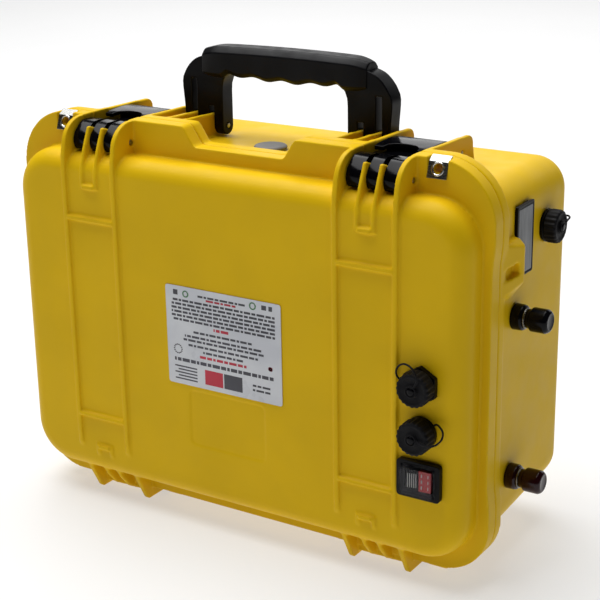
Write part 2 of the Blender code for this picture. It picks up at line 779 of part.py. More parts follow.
def make_handle():
    y, z = UPPER_AXIS
    frame = block((-84.0, 84.0), (y - 4.0, y + 4.0), (340.0, 350.0))
    frame = cut(frame, block((-90.0, -GRIP_HALF - 6.0), (40.0, 70.0), (344.0, 360.0)),
                block((GRIP_HALF + 6.0, 90.0), (40.0, 70.0), (344.0, 360.0)))
    for side in (-1, 1):
        span = sorted((side * HANDLE_INSIDE, side * HANDLE_HALF))
        frame = joined(frame, prism("X", leg_outline(), *span),
                       prism("Y", shoulder_outline(side), y - 8.0, y + 8.0))
        for lug, top in zip(HANDLE_LUGS, (311.0, 331.0)):
            slot = sorted((side * (lug[0] - 0.5), side * (lug[1] + 0.5)))
            frame = cut(frame, block(slot, (40.0, 75.0), (280.0, top)))
        frame = cut(frame, rod("X", UPPER_AXIS, PIN_RADIUS + BORE_PLAY,
                               span[0] - 1.0, span[1] + 1.0, 12))
    finish(frame, "handle_frame", black_plastic(), (0.0, y, z))

    half = GRIP_DEPTH / 2
    grip = loft("Y", [(y - half, grip_edge(3.5)), (y - half + 4.5, grip_edge(0.0)),
                      (y + half - 4.5, grip_edge(0.0)), (y + half, grip_edge(3.5))])
    grip = cut(grip, block((-80.0, 80.0), (y - 4.0 - GAP, y + 4.0 + GAP),
                           (340.0 - GAP, 350.0 + GAP)))
    finish(grip, "handle_grip", black_rubber(), (0.0, y, z))


# ---------------------------------------------------------------- lid fittings

def scalloped(centre, radius, lobes, depth):
    """A round outline with shallow finger notches."""
    points = []
    count = lobes * 4
    for step in range(count):
        angle = 2.0 * math.pi * step / count
        reach = radius - depth * (0.5 - 0.5 * math.cos(lobes * angle))
        points.append((centre[0] + reach * math.cos(angle),
                       centre[1] + reach * math.sin(angle)))
    return points


def make_socket(axis, centre, seat, inner, way, name, flange, thick, cap_length):
    """A bulkhead socket: outer flange, barrel out to the cap and body inside.

    seat is the wall's outer surface on the socket's axis, inner is where the nut
    bears inside, and way is +1 or -1, the direction in which the socket faces.
    """
    front = seat + way * (GAP + thick)
    barrel = cap_length - CAP_END - 1.1
    body = prism(axis, flange, *sorted((seat + way * GAP, front)))
    body = joined(body, rod(axis, centre, SOCKET_BARREL,
                            *sorted((front - way, front + way * barrel)), 20))
    body = joined(body, rod(axis, centre, SOCKET_HOLE - 0.5,
                            *sorted((front - way * 1.0, seat - way * SOCKET_REACH)), 20))
    body = cut(body, rod(axis, centre, SOCKET_BORE,
                         *sorted((front - way * 8.0, front + way * 9.0)), 16))
    finish(body, name, black_plastic())

    nut = prism(axis, circle(centre, NUT_RADIUS, 6),
                *sorted((inner, inner - way * NUT_THICK)))
    nut = cut(nut, rod(axis, centre, SOCKET_HOLE,
                       *sorted((inner + way, inner - way * (NUT_THICK + PIN_ROOM))), 20))
    finish(nut, name + "_nut", black_plastic())
    return front


def make_cap(axis, centre, front, way, radius, length, name):
    """A screw cap and the rivet on which it turns."""
    start = front + way * GAP
    end = start + way * length
    cap = prism(axis, scalloped(centre, radius, 10, 0.6), *sorted((start, end)))
    cap = cut(cap, rod(axis, centre, SOCKET_BARREL + 0.5,
                       *sorted((start - way, end - way * CAP_END)), 20))
    cap = cut(cap, rod(axis, centre, 1.7, *sorted((start, end + way)), 12))
    finish(cap, name, black_rubber(), seat_origin(axis, centre, start))
    head = rod(axis, centre, 3.0, *sorted((end + way * GAP, end + way * RIVET_PROUD)), 16)
    shank = rod(axis, centre, 1.3, *sorted((end - way * 1.6, end + way)), 12)
    finish(joined(head, shank), name + "_rivet", black_plastic(),
           seat_origin(axis, centre, start))
    return end


def seat_origin(axis, centre, height):
    """The case-frame point at a height on a fitting's axis."""
    if axis == "X":
        return (height, centre[0], centre[1])
    return (centre[0], height, centre[1])


def tether_from(centre, face, offsets):
    """Route of a cap tether, from offsets (dx, y behind the cap's face, dz)."""
    return [(centre[0] + dx, face + depth, centre[1] + dz)
            for dx, depth, dz in offsets]


def make_front_sockets():
    """The two capped power sockets in the lid's face."""
    seat = -LID_DEPTH
    inner = seat + LID_WALL + GAP
    front = make_socket("Y", UPPER_SOCKET, seat, inner, -1, "charge_socket",
                        circle(UPPER_SOCKET, HEX_RADIUS, 6, 30.0), SOCKET_FLANGE,
                        CAP_LENGTH)
    face = make_cap("Y", UPPER_SOCKET, front, -1, CAP_RADIUS, CAP_LENGTH, "charge_cap")
    route = tether_from(UPPER_SOCKET, face, [
        (2.6, -1.2, 3.9), (5.1, -1.3, 9.2), (3.1, -1.1, 14.4), (-0.8, -0.1, 17.6),
        (-6.2, 1.5, 18.1), (-11.6, 3.7, 14.9), (-14.9, 6.3, 9.8), (-15.5, 8.8, 5.2),
        (-14.8, 11.0, 2.4), (-13.5, 12.8, 0.6)])
    finish(tube(route, TETHER_RADIUS), "charge_cap_tether", black_rubber())

    front = make_socket("Y", LOWER_SOCKET, seat, inner, -1, "output_socket",
                        circle(LOWER_SOCKET, ROUND_FLANGE, 24), SOCKET_FLANGE,
                        CAP_LENGTH)
    face = make_cap("Y", LOWER_SOCKET, front, -1, CAP_RADIUS, CAP_LENGTH, "output_cap")
    route = tether_from(LOWER_SOCKET, face, [
        (4.4, -1.2, 0.6), (9.1, -1.3, -0.9), (14.9, -0.9, -1.2), (19.2, 0.9, 0.9),
        (21.4, 3.7, 4.3), (20.3, 6.5, 8.1), (15.8, 9.3, 10.4), (12.4, 11.8, 9.6),
        (10.9, 13.0, 8.1)])
    finish(tube(route, TETHER_RADIUS), "output_cap_tether", black_rubber())


def make_side_socket():
    """The capped socket high on the right-hand wall."""
    seat = body_half(SIDE_SOCKET[0] - 14.0) + 0.1
    # The nut bears on a washer's thickness of clearance below the corner's curve.
    inner = body_half(SIDE_SOCKET[0] + 15.0) - WALL - 3 * GAP
    front = make_socket("X", SIDE_SOCKET, seat, inner, 1, "side_socket",
                        circle(SIDE_SOCKET, ROUND_FLANGE, 24), SIDE_FLANGE,
                        SIDE_CAP_LENGTH)
    face = make_cap("X", SIDE_SOCKET, front, 1, SIDE_CAP_RADIUS, SIDE_CAP_LENGTH,
                    "side_cap")
    y, z = SIDE_SOCKET
    route = [(face + 1.1, y + 3.6, z + 2.0), (face + 1.2, y + 7.6, z + 3.4),
             (face + 1.1, y + 11.4, z + 4.3), (face - 0.9, y + 13.9, z + 4.7),
             (face - 4.0, y + 14.7, z + 4.4), (face - 7.4, y + 14.6, z + 3.6),
             (face - 9.8, y + 13.4, z + 2.6)]
    finish(tube(route, TETHER_RADIUS), "side_cap_tether", black_rubber())


def make_switch():
    """Rocker switch with a clear splash cover."""
    x, z = SWITCH
    half_w = SWITCH_SIZE[0] / 2
    half_h = SWITCH_SIZE[1] / 2
    seat = -(LID_DEPTH + GAP)
    face = seat - SWITCH_PROUD
    frame = prism("Y", rounded_rectangle(x - half_w, x + half_w, z - half_h,
                                         z + half_h, 2.5, 3), face, seat)
    frame = joined(frame, block((x - 13.8, x + 13.8), (seat - 1.0, -12.0),
                                (z - 10.8, z + 10.8)))
    # Recess for the cover's skirt and the rocker's well behind it.
    frame = cut(frame, block((x - 12.9, x + 12.9), (face - 1.0, face + 2.0),
                             (z - 10.7, z + 10.7)))
    frame = cut(frame, block((x - 10.8, x + 10.8), (face - 1.0, -28.0),
                             (z - 8.4, z + 8.4)))
    finish(frame, "switch_body", black_plastic())

    cover = prism("Y", rounded_rectangle(x - 12.5, x + 12.5, z - 10.3, z + 10.3,
                                         1.5, 3), face - 4.6, face + 1.6)
    cover = cut(cover, block((x - 11.5, x + 11.5), (face - 3.6, face + 3.0),
                             (z - 9.3, z + 9.3)))
    finish(cover, "switch_cover",
           material("clear_plastic", (0.9, 0.92, 0.93), 0.08, alpha=0.3))

    # The rocker is drawn level about its pivot, then tipped into one of its two states.
    pivot = (x, face + ROCKER_PIVOT)
    outline = tipped([(-9.0, -5.9), (0.0, -5.4), (9.0, -5.9), (9.3, -5.2),
                      (8.6, 0.0), (2.5, 3.0), (-2.5, 3.0), (-8.6, 0.0),
                      (-9.3, -5.2)], ROCKER_TILT, pivot)
    rocker = prism("Z", outline, z - 7.6, z + 7.6)
    finish(rocker, "rocker", material("rocker_red", (0.55, 0.02, 0.02), 0.35),
           (pivot[0], pivot[1], z))


def tipped(points, angle, pivot):
    """Turn points about the origin by an angle in degrees and move them to a pivot."""
    cosine = math.cos(math.radians(angle))
    sine = math.sin(math.radians(angle))
    return [(pivot[0] + x * cosine - y * sine, pivot[1] + x * sine + y * cosine)
            for x, y in points]


# ---------------------------------------------------------------- wall fittings

def make_meter():
    """Panel meter in the right-hand wall: bezel with body behind, and window."""
    y, z = METER
    half_y = METER_SIZE[0] / 2
    half_z = METER_SIZE[1] / 2
    seat = body_half(y - half_y) + GAP
    case = prism("X", rounded_rectangle(y - half_y, y + half_y, z - half_z,
                                        z + half_z, 1.5, 2), seat, seat + 2.2)
    case = joined(case, block((seat - 24.0, seat + 1.0),
                              (y - half_y + 2.3, y + half_y - 2.3),
                              (z - half_z + 2.3, z + half_z - 2.3)))
    case = cut(case, block((seat + 1.0, seat + 4.0),
                           (y - half_y + 2.6, y + half_y - 1.6),
                           (z - half_z + 1.6, z + half_z - 2.6)))
    finish(case, "meter_case", black_plastic())
    window = block((seat + 1.0 + GAP, seat + 2.0),
                   (y - half_y + 2.9, y + half_y - 1.9),
                   (z - half_z + 1.9, z + half_z - 2.9))
    finish(window, "meter_window", material("meter_glass", (0.16, 0.18, 0.19), 0.12))


def make_terminal(centre, word, plastic):
    """Binding post: fixed collar and stud, loose washer and screwed knob."""
    seat = body_half(centre[0] - COLLAR_RADIUS) + GAP
    end = seat + COLLAR_LENGTH
    collar = turned("X", centre, [(seat, COLLAR_RADIUS - 0.4),
                                  (seat + 1.0, COLLAR_RADIUS),
                                  (end - 1.6, COLLAR_RADIUS - 0.3),
                                  (end, COLLAR_RADIUS - 1.4)])
    collar = joined(collar, rod("X", centre, COLLAR_NECK, seat - 8.0, seat + 0.9, 16))
    collar = cut(collar, rod("X", centre, STUD_RADIUS + 0.4, seat - 9.0, end + 1.0, 12))
    finish(collar, word + "_collar", plastic)

    stud = rod("X", centre, STUD_RADIUS, seat - STUD_INSIDE, end + 11.0, 12)
    finish(stud, word + "_stud", material("brass", (0.70, 0.52, 0.22), 0.3, 1.0))

    washer = rod("X", centre, WASHER_RADIUS, end + GAP, end + GAP + WASHER_THICK, 20)
    washer = cut(washer, rod("X", centre, STUD_RADIUS + 0.5, end, end + 2.0, 12))
    finish(washer, word + "_washer", steel(), (end + GAP, *centre))

    start = end + WASHER_THICK + 2 * GAP
    knob = turned("X", centre, [(start, WASHER_RADIUS - 0.6),
                                (start + 2.4, WASHER_RADIUS - 0.4),
                                (start + 3.6, KNOB_RADIUS),
                                (start + KNOB_LENGTH - 3.2, KNOB_RADIUS),
                                (start + KNOB_LENGTH - 1.0, KNOB_RADIUS - 0.8),
                                (start + KNOB_LENGTH, KNOB_RADIUS - 2.4)])
    knob = cut(knob, rod("X", centre, STUD_RADIUS + 0.5, start - 1.0, end + 12.0, 12))
    finish(knob, word + "_knob", plastic, (start, *centre))


def make_purge_valve():
    """Pressure valve on top of the base, under the handle."""
    x, y = PURGE_VALVE
    seat = body_top(y - PURGE_RADIUS) + GAP
    valve = turned("Z", (x, y), [(seat, PURGE_RADIUS - 0.3),
                                 (seat + 1.6, PURGE_RADIUS),
                                 (seat + 2.6, PURGE_RADIUS - 1.2)])
    valve = joined(valve, rod("Z", (x, y), COLLAR_NECK, seat - 8.0, seat + 1.0, 16))
    finish(valve, "purge_valve", material("grey_plastic", (0.22, 0.21, 0.20), 0.5))


# ---------------------------------------------------------------- inside

def make_inside():
    """Cell modules in a foam cradle, the protection board and the bus bars."""
    foil = material("cell_foil", (0.55, 0.56, 0.58), 0.35, 0.9)
    foam = material("foam", (0.03, 0.03, 0.03), 0.95)
    copper = material("copper", (0.72, 0.38, 0.22), 0.3, 1.0)
    pitch = 21.0
    thick = 20.0
    first = 26.0
    last = first + 3 * pitch + thick
    for index in range(4):
        low = first + index * pitch
        cell = block((-150.0, 110.0), (low, low + thick), (55.0, 205.0))
        finish(cell, "cell_module_%d" % (index + 1), foil)

    cradle = block((-164.0, 140.0), (16.0, 118.0), (35.8, 130.0))
    cradle = cut(cradle, block((-150.5, 110.5), (first - 0.5, last + 0.5),
                               (54.5, 140.0)))
    finish(cradle, "foam_cradle", foam)

    board = block((-130.0, 70.0), (34.0, 102.0), (216.0, 218.0))
    finish(board, "protection_board",
           material("board_green", (0.02, 0.16, 0.06), 0.4))
    sink = block((-120.0, 10.0), (42.0, 94.0), (218.3, 228.0))
    for index in range(5):
        groove = -104.0 + index * 24.0
        sink = cut(sink, block((groove, groove + 12.0), (40.0, 96.0),
                               (221.0, 230.0)))
    finish(sink, "board_heat_sink", material("aluminium", (0.7, 0.7, 0.7), 0.35, 1.0))

    # Each bar rises from the cells' top and drops beside its terminal stud.
    stud_end = body_half(NEGATIVE[0] - COLLAR_RADIUS) + GAP - STUD_INSIDE
    bar = [(60.0, 206.0), (stud_end - 0.5, 206.0), (stud_end - 0.5, 184.0),
           (stud_end - 3.0, 184.0), (stud_end - 3.0, 203.5), (116.0, 203.5),
           (116.0, 205.4), (60.0, 205.4)]
    bar = [(x, z + 2.0) if z > 203.0 else (x, z) for x, z in bar]
    finish(prism("Y", bar, NEGATIVE[0] - 7.0, NEGATIVE[0] + 7.0),
           "negative_bus_bar", copper)
    stud_end = body_half(POSITIVE[0] - COLLAR_RADIUS) + GAP - STUD_INSIDE
    bar = [(40.0, 212.5), (150.0, 212.5), (150.0, 70.0), (stud_end - 0.5, 70.0),
           (stud_end - 0.5, 60.0), (stud_end - 3.0, 60.0), (stud_end - 3.0, 67.5),
           (147.5, 67.5), (147.5, 210.0), (40.0, 210.0)]
    finish(prism("Y", bar, POSITIVE[0] + 20.0, POSITIVE[0] + 32.0),
           "positive_bus_bar", copper)


# ---------------------------------------------------------------- assembly

def clear_scene():
    for item in list(bpy.data.objects):
        bpy.data.objects.remove(item, do_unlink=True)


def make_datum():
    """Empty that puts the world origin under the middle of the assembly."""
    knob_end = (body_half(NEGATIVE[0] - COLLAR_RADIUS) + GAP + COLLAR_LENGTH
                + WASHER_THICK + 2 * GAP + KNOB_LENGTH)
    positive_end = (body_half(POSITIVE[0] - COLLAR_RADIUS) + GAP + COLLAR_LENGTH
                    + WASHER_THICK + 2 * GAP + KNOB_LENGTH)
    right = max(knob_end, positive_end)
    front = -(LID_DEPTH + GAP + SOCKET_FLANGE + GAP + CAP_LENGTH + TETHER_PROUD)
    datum = bpy.data.objects.new("datum", None)
    datum.location = (-(right - STRAP_HALF) / 2 * MM,
                      -(BASE_DEPTH + front) / 2 * MM, 0.0)
    bpy.context.scene.collection.objects.link(datum)
    bpy.context.view_layer.update()


def main():
    clear_scene()
    make_datum()
    make_base_shell()
    make_lid_shell()
    make_gasket()
    make_padlock_plates()
    make_label()
    make_pins()
    make_latches()
    make_handle()
    make_front_sockets()
    make_side_socket()
    make_switch()
    make_meter()
    make_terminal(NEGATIVE, "negative", black_plastic())
    make_terminal(POSITIVE, "positive",
                  material("dark_red_plastic", (0.06, 0.004, 0.008), 0.35))
    make_purge_valve()
    make_inside()


main()
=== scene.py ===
"""Looks of a portable battery box: moulded yellow case, black fittings, studio light.

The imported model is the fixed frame. Positions are written in the case's own
millimetres: x from the middle of the case, y back from the seam between lid and
base, z up from the feet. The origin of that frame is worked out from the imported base.
"""

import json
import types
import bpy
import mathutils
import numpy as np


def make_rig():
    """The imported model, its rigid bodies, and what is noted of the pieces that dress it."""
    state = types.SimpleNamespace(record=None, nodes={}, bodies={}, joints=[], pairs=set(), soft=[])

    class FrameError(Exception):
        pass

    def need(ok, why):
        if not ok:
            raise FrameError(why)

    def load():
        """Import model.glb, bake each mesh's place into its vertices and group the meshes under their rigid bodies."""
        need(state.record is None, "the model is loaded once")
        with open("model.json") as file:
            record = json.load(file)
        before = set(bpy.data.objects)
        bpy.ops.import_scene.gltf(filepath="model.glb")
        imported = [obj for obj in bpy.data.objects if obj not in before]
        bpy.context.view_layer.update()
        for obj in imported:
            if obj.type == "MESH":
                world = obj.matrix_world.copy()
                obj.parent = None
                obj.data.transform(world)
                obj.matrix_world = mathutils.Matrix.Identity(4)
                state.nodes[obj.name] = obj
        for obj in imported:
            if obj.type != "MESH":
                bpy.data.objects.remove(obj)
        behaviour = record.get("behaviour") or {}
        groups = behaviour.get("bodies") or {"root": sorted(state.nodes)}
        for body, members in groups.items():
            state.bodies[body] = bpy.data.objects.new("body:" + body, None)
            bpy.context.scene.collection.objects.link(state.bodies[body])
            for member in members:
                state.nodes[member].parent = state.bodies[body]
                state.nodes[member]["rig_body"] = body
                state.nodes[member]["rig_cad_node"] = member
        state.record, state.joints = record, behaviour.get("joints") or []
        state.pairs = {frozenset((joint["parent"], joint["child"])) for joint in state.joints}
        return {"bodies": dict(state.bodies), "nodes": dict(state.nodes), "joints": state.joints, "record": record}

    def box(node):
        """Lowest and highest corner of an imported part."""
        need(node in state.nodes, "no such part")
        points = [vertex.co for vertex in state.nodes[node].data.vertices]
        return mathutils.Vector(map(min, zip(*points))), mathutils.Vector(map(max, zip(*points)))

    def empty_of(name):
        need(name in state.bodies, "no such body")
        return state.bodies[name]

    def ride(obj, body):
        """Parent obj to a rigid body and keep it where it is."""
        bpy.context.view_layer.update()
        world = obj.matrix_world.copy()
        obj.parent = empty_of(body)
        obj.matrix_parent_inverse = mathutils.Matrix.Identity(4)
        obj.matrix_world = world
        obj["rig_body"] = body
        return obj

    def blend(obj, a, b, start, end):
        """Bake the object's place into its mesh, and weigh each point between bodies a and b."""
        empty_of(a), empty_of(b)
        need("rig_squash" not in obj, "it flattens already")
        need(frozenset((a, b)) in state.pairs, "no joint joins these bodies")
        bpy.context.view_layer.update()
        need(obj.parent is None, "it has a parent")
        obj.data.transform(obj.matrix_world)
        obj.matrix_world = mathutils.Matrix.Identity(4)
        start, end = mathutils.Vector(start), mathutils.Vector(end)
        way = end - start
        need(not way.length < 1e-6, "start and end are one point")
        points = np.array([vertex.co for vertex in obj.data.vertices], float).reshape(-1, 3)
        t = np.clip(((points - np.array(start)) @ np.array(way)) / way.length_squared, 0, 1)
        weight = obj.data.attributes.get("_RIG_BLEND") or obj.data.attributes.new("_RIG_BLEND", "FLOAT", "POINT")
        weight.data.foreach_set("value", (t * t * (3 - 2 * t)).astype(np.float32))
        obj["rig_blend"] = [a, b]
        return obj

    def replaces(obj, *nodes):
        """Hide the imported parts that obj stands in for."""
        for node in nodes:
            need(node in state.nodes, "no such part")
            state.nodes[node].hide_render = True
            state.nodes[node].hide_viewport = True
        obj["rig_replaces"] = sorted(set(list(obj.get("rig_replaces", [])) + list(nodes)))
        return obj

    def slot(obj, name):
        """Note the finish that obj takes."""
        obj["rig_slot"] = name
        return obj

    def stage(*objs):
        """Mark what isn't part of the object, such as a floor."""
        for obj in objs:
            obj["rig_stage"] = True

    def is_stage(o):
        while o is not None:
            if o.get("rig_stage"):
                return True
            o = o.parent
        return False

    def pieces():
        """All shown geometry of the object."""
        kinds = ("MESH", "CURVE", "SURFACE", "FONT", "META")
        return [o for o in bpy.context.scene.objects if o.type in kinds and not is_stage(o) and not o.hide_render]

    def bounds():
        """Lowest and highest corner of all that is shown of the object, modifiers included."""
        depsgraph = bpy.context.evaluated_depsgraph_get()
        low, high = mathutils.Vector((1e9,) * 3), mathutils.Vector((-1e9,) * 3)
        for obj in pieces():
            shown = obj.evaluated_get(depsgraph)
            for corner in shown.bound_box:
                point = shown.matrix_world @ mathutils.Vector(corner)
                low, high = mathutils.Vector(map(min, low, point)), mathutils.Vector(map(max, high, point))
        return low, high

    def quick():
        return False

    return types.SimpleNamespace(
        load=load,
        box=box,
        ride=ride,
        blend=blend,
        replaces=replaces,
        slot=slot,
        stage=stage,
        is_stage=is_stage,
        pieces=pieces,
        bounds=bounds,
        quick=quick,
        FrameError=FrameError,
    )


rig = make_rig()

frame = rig.load()

import json
import math

import bmesh
import bpy
from mathutils import Matrix, Vector

CAD_BOX = [list(corner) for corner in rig.bounds()]

MM = 0.001
GAP = 0.3

# Case frame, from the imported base: its strap lugs are symmetrical, its back is flat.
BASE_DEPTH = 137.0
BASE_LOW, BASE_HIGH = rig.box("base_shell")
CENTRE_X = (BASE_LOW[0] + BASE_HIGH[0]) / 2
SEAM_Y = BASE_HIGH[1] - BASE_DEPTH * MM

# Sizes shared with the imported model, in millimetres.
LID_DEPTH = 36.0
WALL = 4.0
LID_WALL = 3.5
RIB_FACE = -(LID_DEPTH + 1.9)
CHEEK_FACE = -(LID_DEPTH + 2.5)
SOCKET_SEAT = -25.0
FLANGE_HALF = 203.0
FLANGE_SIDE = 201.2
FLANGE_LOW = 9.0
FLANGE_HIGH = 308.5
FLANGE_DIP = 293.8
LID_FLANGE = 12.0
BASE_FLANGE = 10.0
LOWER_RADIUS = 38.0
UPPER_RADIUS = 44.0
DOME_HALF = 194.0
DOME_LOW = 23.0
DOME_HIGH = 283.0
DOME_CORNER = 34.0
DOME_EDGE = 14.0
BODY_HALF = 197.5
BODY_LOW = 26.0
BODY_HIGH = 289.0
BODY_CORNER = 23.0
CAVITY_CORNER = 36.0
BODY_EDGE = 18.0
BODY_DRAFT = 3.5
BODY_DRAFT_Z = 5.0
BAND = 119.0
CHEEK_IN = (-25.5, -21.5)
CHEEK_OUT = (21.5, 25.5)
KNIFE_RIBS = ((-8.0, -5.0), (5.0, 8.0))
BETWEEN_CHEEKS = (-21.6, 21.6)
BETWEEN_RIBS = (-5.1, 5.1)
CROSS_RIBS = (73.0, 234.0)
SHORT_RIBS = (259.4, 47.0)
HINGE_AXIS = (4.0, 8.0)
CATCH_AXIS = (-15.0, 292.0)
UPPER_AXIS = (56.0, 295.5)
PIN_RADIUS = 2.0
PIN_HOLE = PIN_RADIUS + 0.35
PIN_SIDES = 24
PIN_ROOM = PIN_RADIUS + 1.2
KNUCKLE = 8.0
KNUCKLE_ROOM = KNUCKLE + 0.6
LUG_RADIUS = 7.5
LUG_ROOM = LUG_RADIUS + 0.7
HANDLE_HALF = 92.3
HANDLE_INSIDE = 55.0
HANDLE_LUGS = ((63.9, 67.5), (79.2, 82.8))
FORK_TOPS = (311.0, 331.0)
GRIP_HALF = 72.0
GRIP_LOW = 334.6
GRIP_HIGH = 358.0
GRIP_DEPTH = 24.0
GRIP_STEPS = 96
GRIP_STRAIGHT = 46.0
GRIP_TAPER = 50.0
GRIP_END_LOW = 333.4
FINGER_PITCH = 25.0
LEG_DEPTH = 14.0
GASKET_HALF = 197.4
GASKET_LOW = 17.2
GASKET_HIGH = 286.2
GASKET_WIDTH = 3.6
LABEL_RECESS = (-34.0, 34.5, 69.0, 114.4)
RECESS_DEPTH = 0.8
SWITCH_HOLE = (14.3, 11.3)
METER_HOLE = (11.6, 23.8)
PLATE_SEAT = ((-13.75, 291.0), (-8.84, 304.6), (-0.95, 309.6), (-14.2, 309.6),
              (-14.2, 291.0))
EYELET = (159.8, 300.9)
EYELET_SIZE = 14.6
EYELET_HOLE = 3.4
STRAP_HALF = 206.0
STRAP_LOW = 228.0
STRAP_HIGH = 249.5
LUG_SPANS = ((-46.0, -33.0), (31.0, 47.0))
SOCKET_HOLE = 10.8
SOCKET_BARREL = 10.0
SOCKET_BORE = 6.8
SOCKET_FLANGE = 4.2
SOCKET_MOUTH = 7.4
SOCKET_REACH = 20.0
SIDE_FLANGE = 2.0
SIDE_MOUTH = 5.9
ROUND_FLANGE = 11.9
CAP_END = 2.0
CAP_FLUTES = 20
FLUTE_DEPTH = 0.85
EYE_RADIUS = 3.75
EYE_WIRE = 0.62
STUD_RADIUS = 3.0
STUD_HOLE = 5.4
COLLAR_RADIUS = 9.4
COLLAR_LENGTH = 8.3
COLLAR_NECK = 5.0
KNOB_RADIUS = 8.6
WASHER_RADIUS = 7.4
ROCKER_PIVOT = 5.4
ROCKER_TILT = 7.5
ROCKER_HALF = 7.6
DARK_HALF = ((-9.0, -5.9), (-0.1, -5.4), (-0.1, 3.0), (-2.5, 3.0), (-8.6, 0.0),
             (-9.3, -5.2))
RED_HALF = ((9.0, -5.9), (9.3, -5.2), (8.6, 0.0), (2.5, 3.0), (0.1, 3.0), (0.1, -5.4))
TETHER_RADIUS = 0.7
RIM_WIRE = 0.75

# Profiles of the turned pieces: (distance out of a face, change of radius) pairs.
# The hub, which is the raised middle of a cap's face, and the rivet give whole radii.
CAP_MOUTH = ((0.0, -0.5), (0.5, 0.0), (3.5, 0.0))
CAP_RIM = ((-3.0, 0.0), (-1.7, -0.1), (-0.9, -0.5), (-0.3, -1.2), (0.0, -2.2),
           (-0.2, -3.0), (-0.7, -3.8))
CAP_HUB = ((-0.8, 5.4), (-0.6, 4.9), (-0.1, 4.6), (0.0, 4.3), (0.0, 3.7),
           (-0.2, 3.4), (-0.6, 3.3), (-0.7, 1.9))
CAP_RIVET = ((-1.6, 1.3), (0.3, 1.3), (0.3, 2.9), (0.9, 3.0), (1.5, 2.7),
             (1.9, 1.9), (2.0, 0.9))
FLANGE_EDGE = ((-0.5, 0.0), (-0.1, -0.2), (0.0, -0.6))
COLLAR_BACK = ((0.0, -0.3), (0.5, 0.0))
COLLAR_FACE = ((-2.0, -0.2), (-1.0, -0.5), (-0.3, -1.1), (0.0, -1.9))
WASHER_EDGE = ((0.0, -0.25), (0.2, 0.0))
KNOB_NECK = ((0.0, -0.8), (0.3, -0.5), (2.2, -0.5), (2.9, 0.1))
KNOB_BACK = ((3.5, -0.2), (4.2, 0.0))
KNOB_FACE = ((-3.2, 0.0), (-2.5, -0.1), (-1.0, -1.0), (-0.4, -1.7), (0.0, -2.6),
             (-0.1, -3.2), (-0.5, -3.8))

# Tethers of the front sockets: (x, depth, z) from the middle of the cap's face.
CHARGE_TETHER = (
    (2.6, -1.2, 3.9), (5.1, -1.3, 9.2), (3.1, -1.1, 14.4), (-0.8, -0.1, 17.6),
    (-6.2, 1.5, 18.1), (-11.6, 3.7, 14.9), (-14.9, 6.3, 9.8), (-15.5, 8.8, 5.2),
    (-14.8, 11.0, 2.4), (-13.5, 12.8, 0.6))
OUTPUT_TETHER = (
    (4.4, -1.2, 0.6), (9.1, -1.3, -0.9), (14.9, -0.9, -1.2), (19.2, 0.9, 0.9),
    (21.4, 3.7, 4.3), (20.3, 6.5, 8.1), (15.8, 9.3, 10.4), (12.4, 11.8, 9.6),
    (10.9, 13.0, 8.1))

# Tether of the side socket: (out of the cap's face, y, z) from its middle.
SIDE_TETHER = (
    (1.1, 3.6, 2.0), (1.2, 7.6, 3.4), (1.1, 11.4, 4.3), (-0.9, 13.9, 4.7),
    (-4.0, 14.7, 4.4), (-7.4, 14.6, 3.6), (-9.8, 13.4, 2.6))
SIDE_RIGID_FROM = 0.67

# Camera: where it stands in the case frame, where it looks and its lens.
CAMERA_AT = (601.5, -872.2, 537.9)
CAMERA_AZIMUTH = 32.62
CAMERA_ELEVATION = 18.72
CAMERA_ROLL = -0.96
CAMERA_LENS = 90.225

# Stage light: powers in watts; the floor glows a little, so that it stays white.
WORLD_STRENGTH = 0.03
TOP_POWER = 150.0
BACK_POWER = 24.0
FLOOR_GLOW = 0.49


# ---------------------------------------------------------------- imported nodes

def middle_of(node):
    """The middle of a CAD node in case millimetres."""
    low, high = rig.box(node)
    return (((low[0] + high[0]) / 2 - CENTRE_X) / MM,
            ((low[1] + high[1]) / 2 - SEAM_Y) / MM,
            (low[2] + high[2]) / 2 / MM)


def box_of(node):
    """A CAD node's bounds in case millimetres, as pairs for x, y and z."""
    low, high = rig.box(node)
    return (((low[0] - CENTRE_X) / MM, (high[0] - CENTRE_X) / MM),
            ((low[1] - SEAM_Y) / MM, (high[1] - SEAM_Y) / MM),
            (low[2] / MM, high[2] / MM))


# ---------------------------------------------------------------- outlines

def arc(centre, radius, start, end, steps):
    """Points along an arc, angles in degrees, both ends included."""
    points = []
    for step in range(steps + 1):
        angle = math.radians(start + (end - start) * step / steps)
        points.append((centre[0] + radius * math.cos(angle),
                       centre[1] + radius * math.sin(angle)))
    return points


def circle(centre, radius, sides):
    """A closed ring of points."""
    return arc(centre, radius, 0.0, 360.0 - 360.0 / sides, sides - 1)


def rectangle(left, right, low, high):
    return [(left, low), (right, low), (right, high), (left, high)]


def rounded_rectangle(left, right, low, high, radius, steps=16):
    """A rectangle with quarter-circle corners, counter-clockwise."""
    points = arc((right - radius, low + radius), radius, -90, 0, steps)
    points += arc((right - radius, high - radius), radius, 0, 90, steps)
    points += arc((left + radius, high - radius), radius, 90, 180, steps)
    points += arc((left + radius, low + radius), radius, 180, 270, steps)
    return points


def mirrored(points):
    """Close a right-hand half outline with its mirror image across x = 0."""
    return points + [(-x, z) for x, z in reversed(points) if x > 0.0]


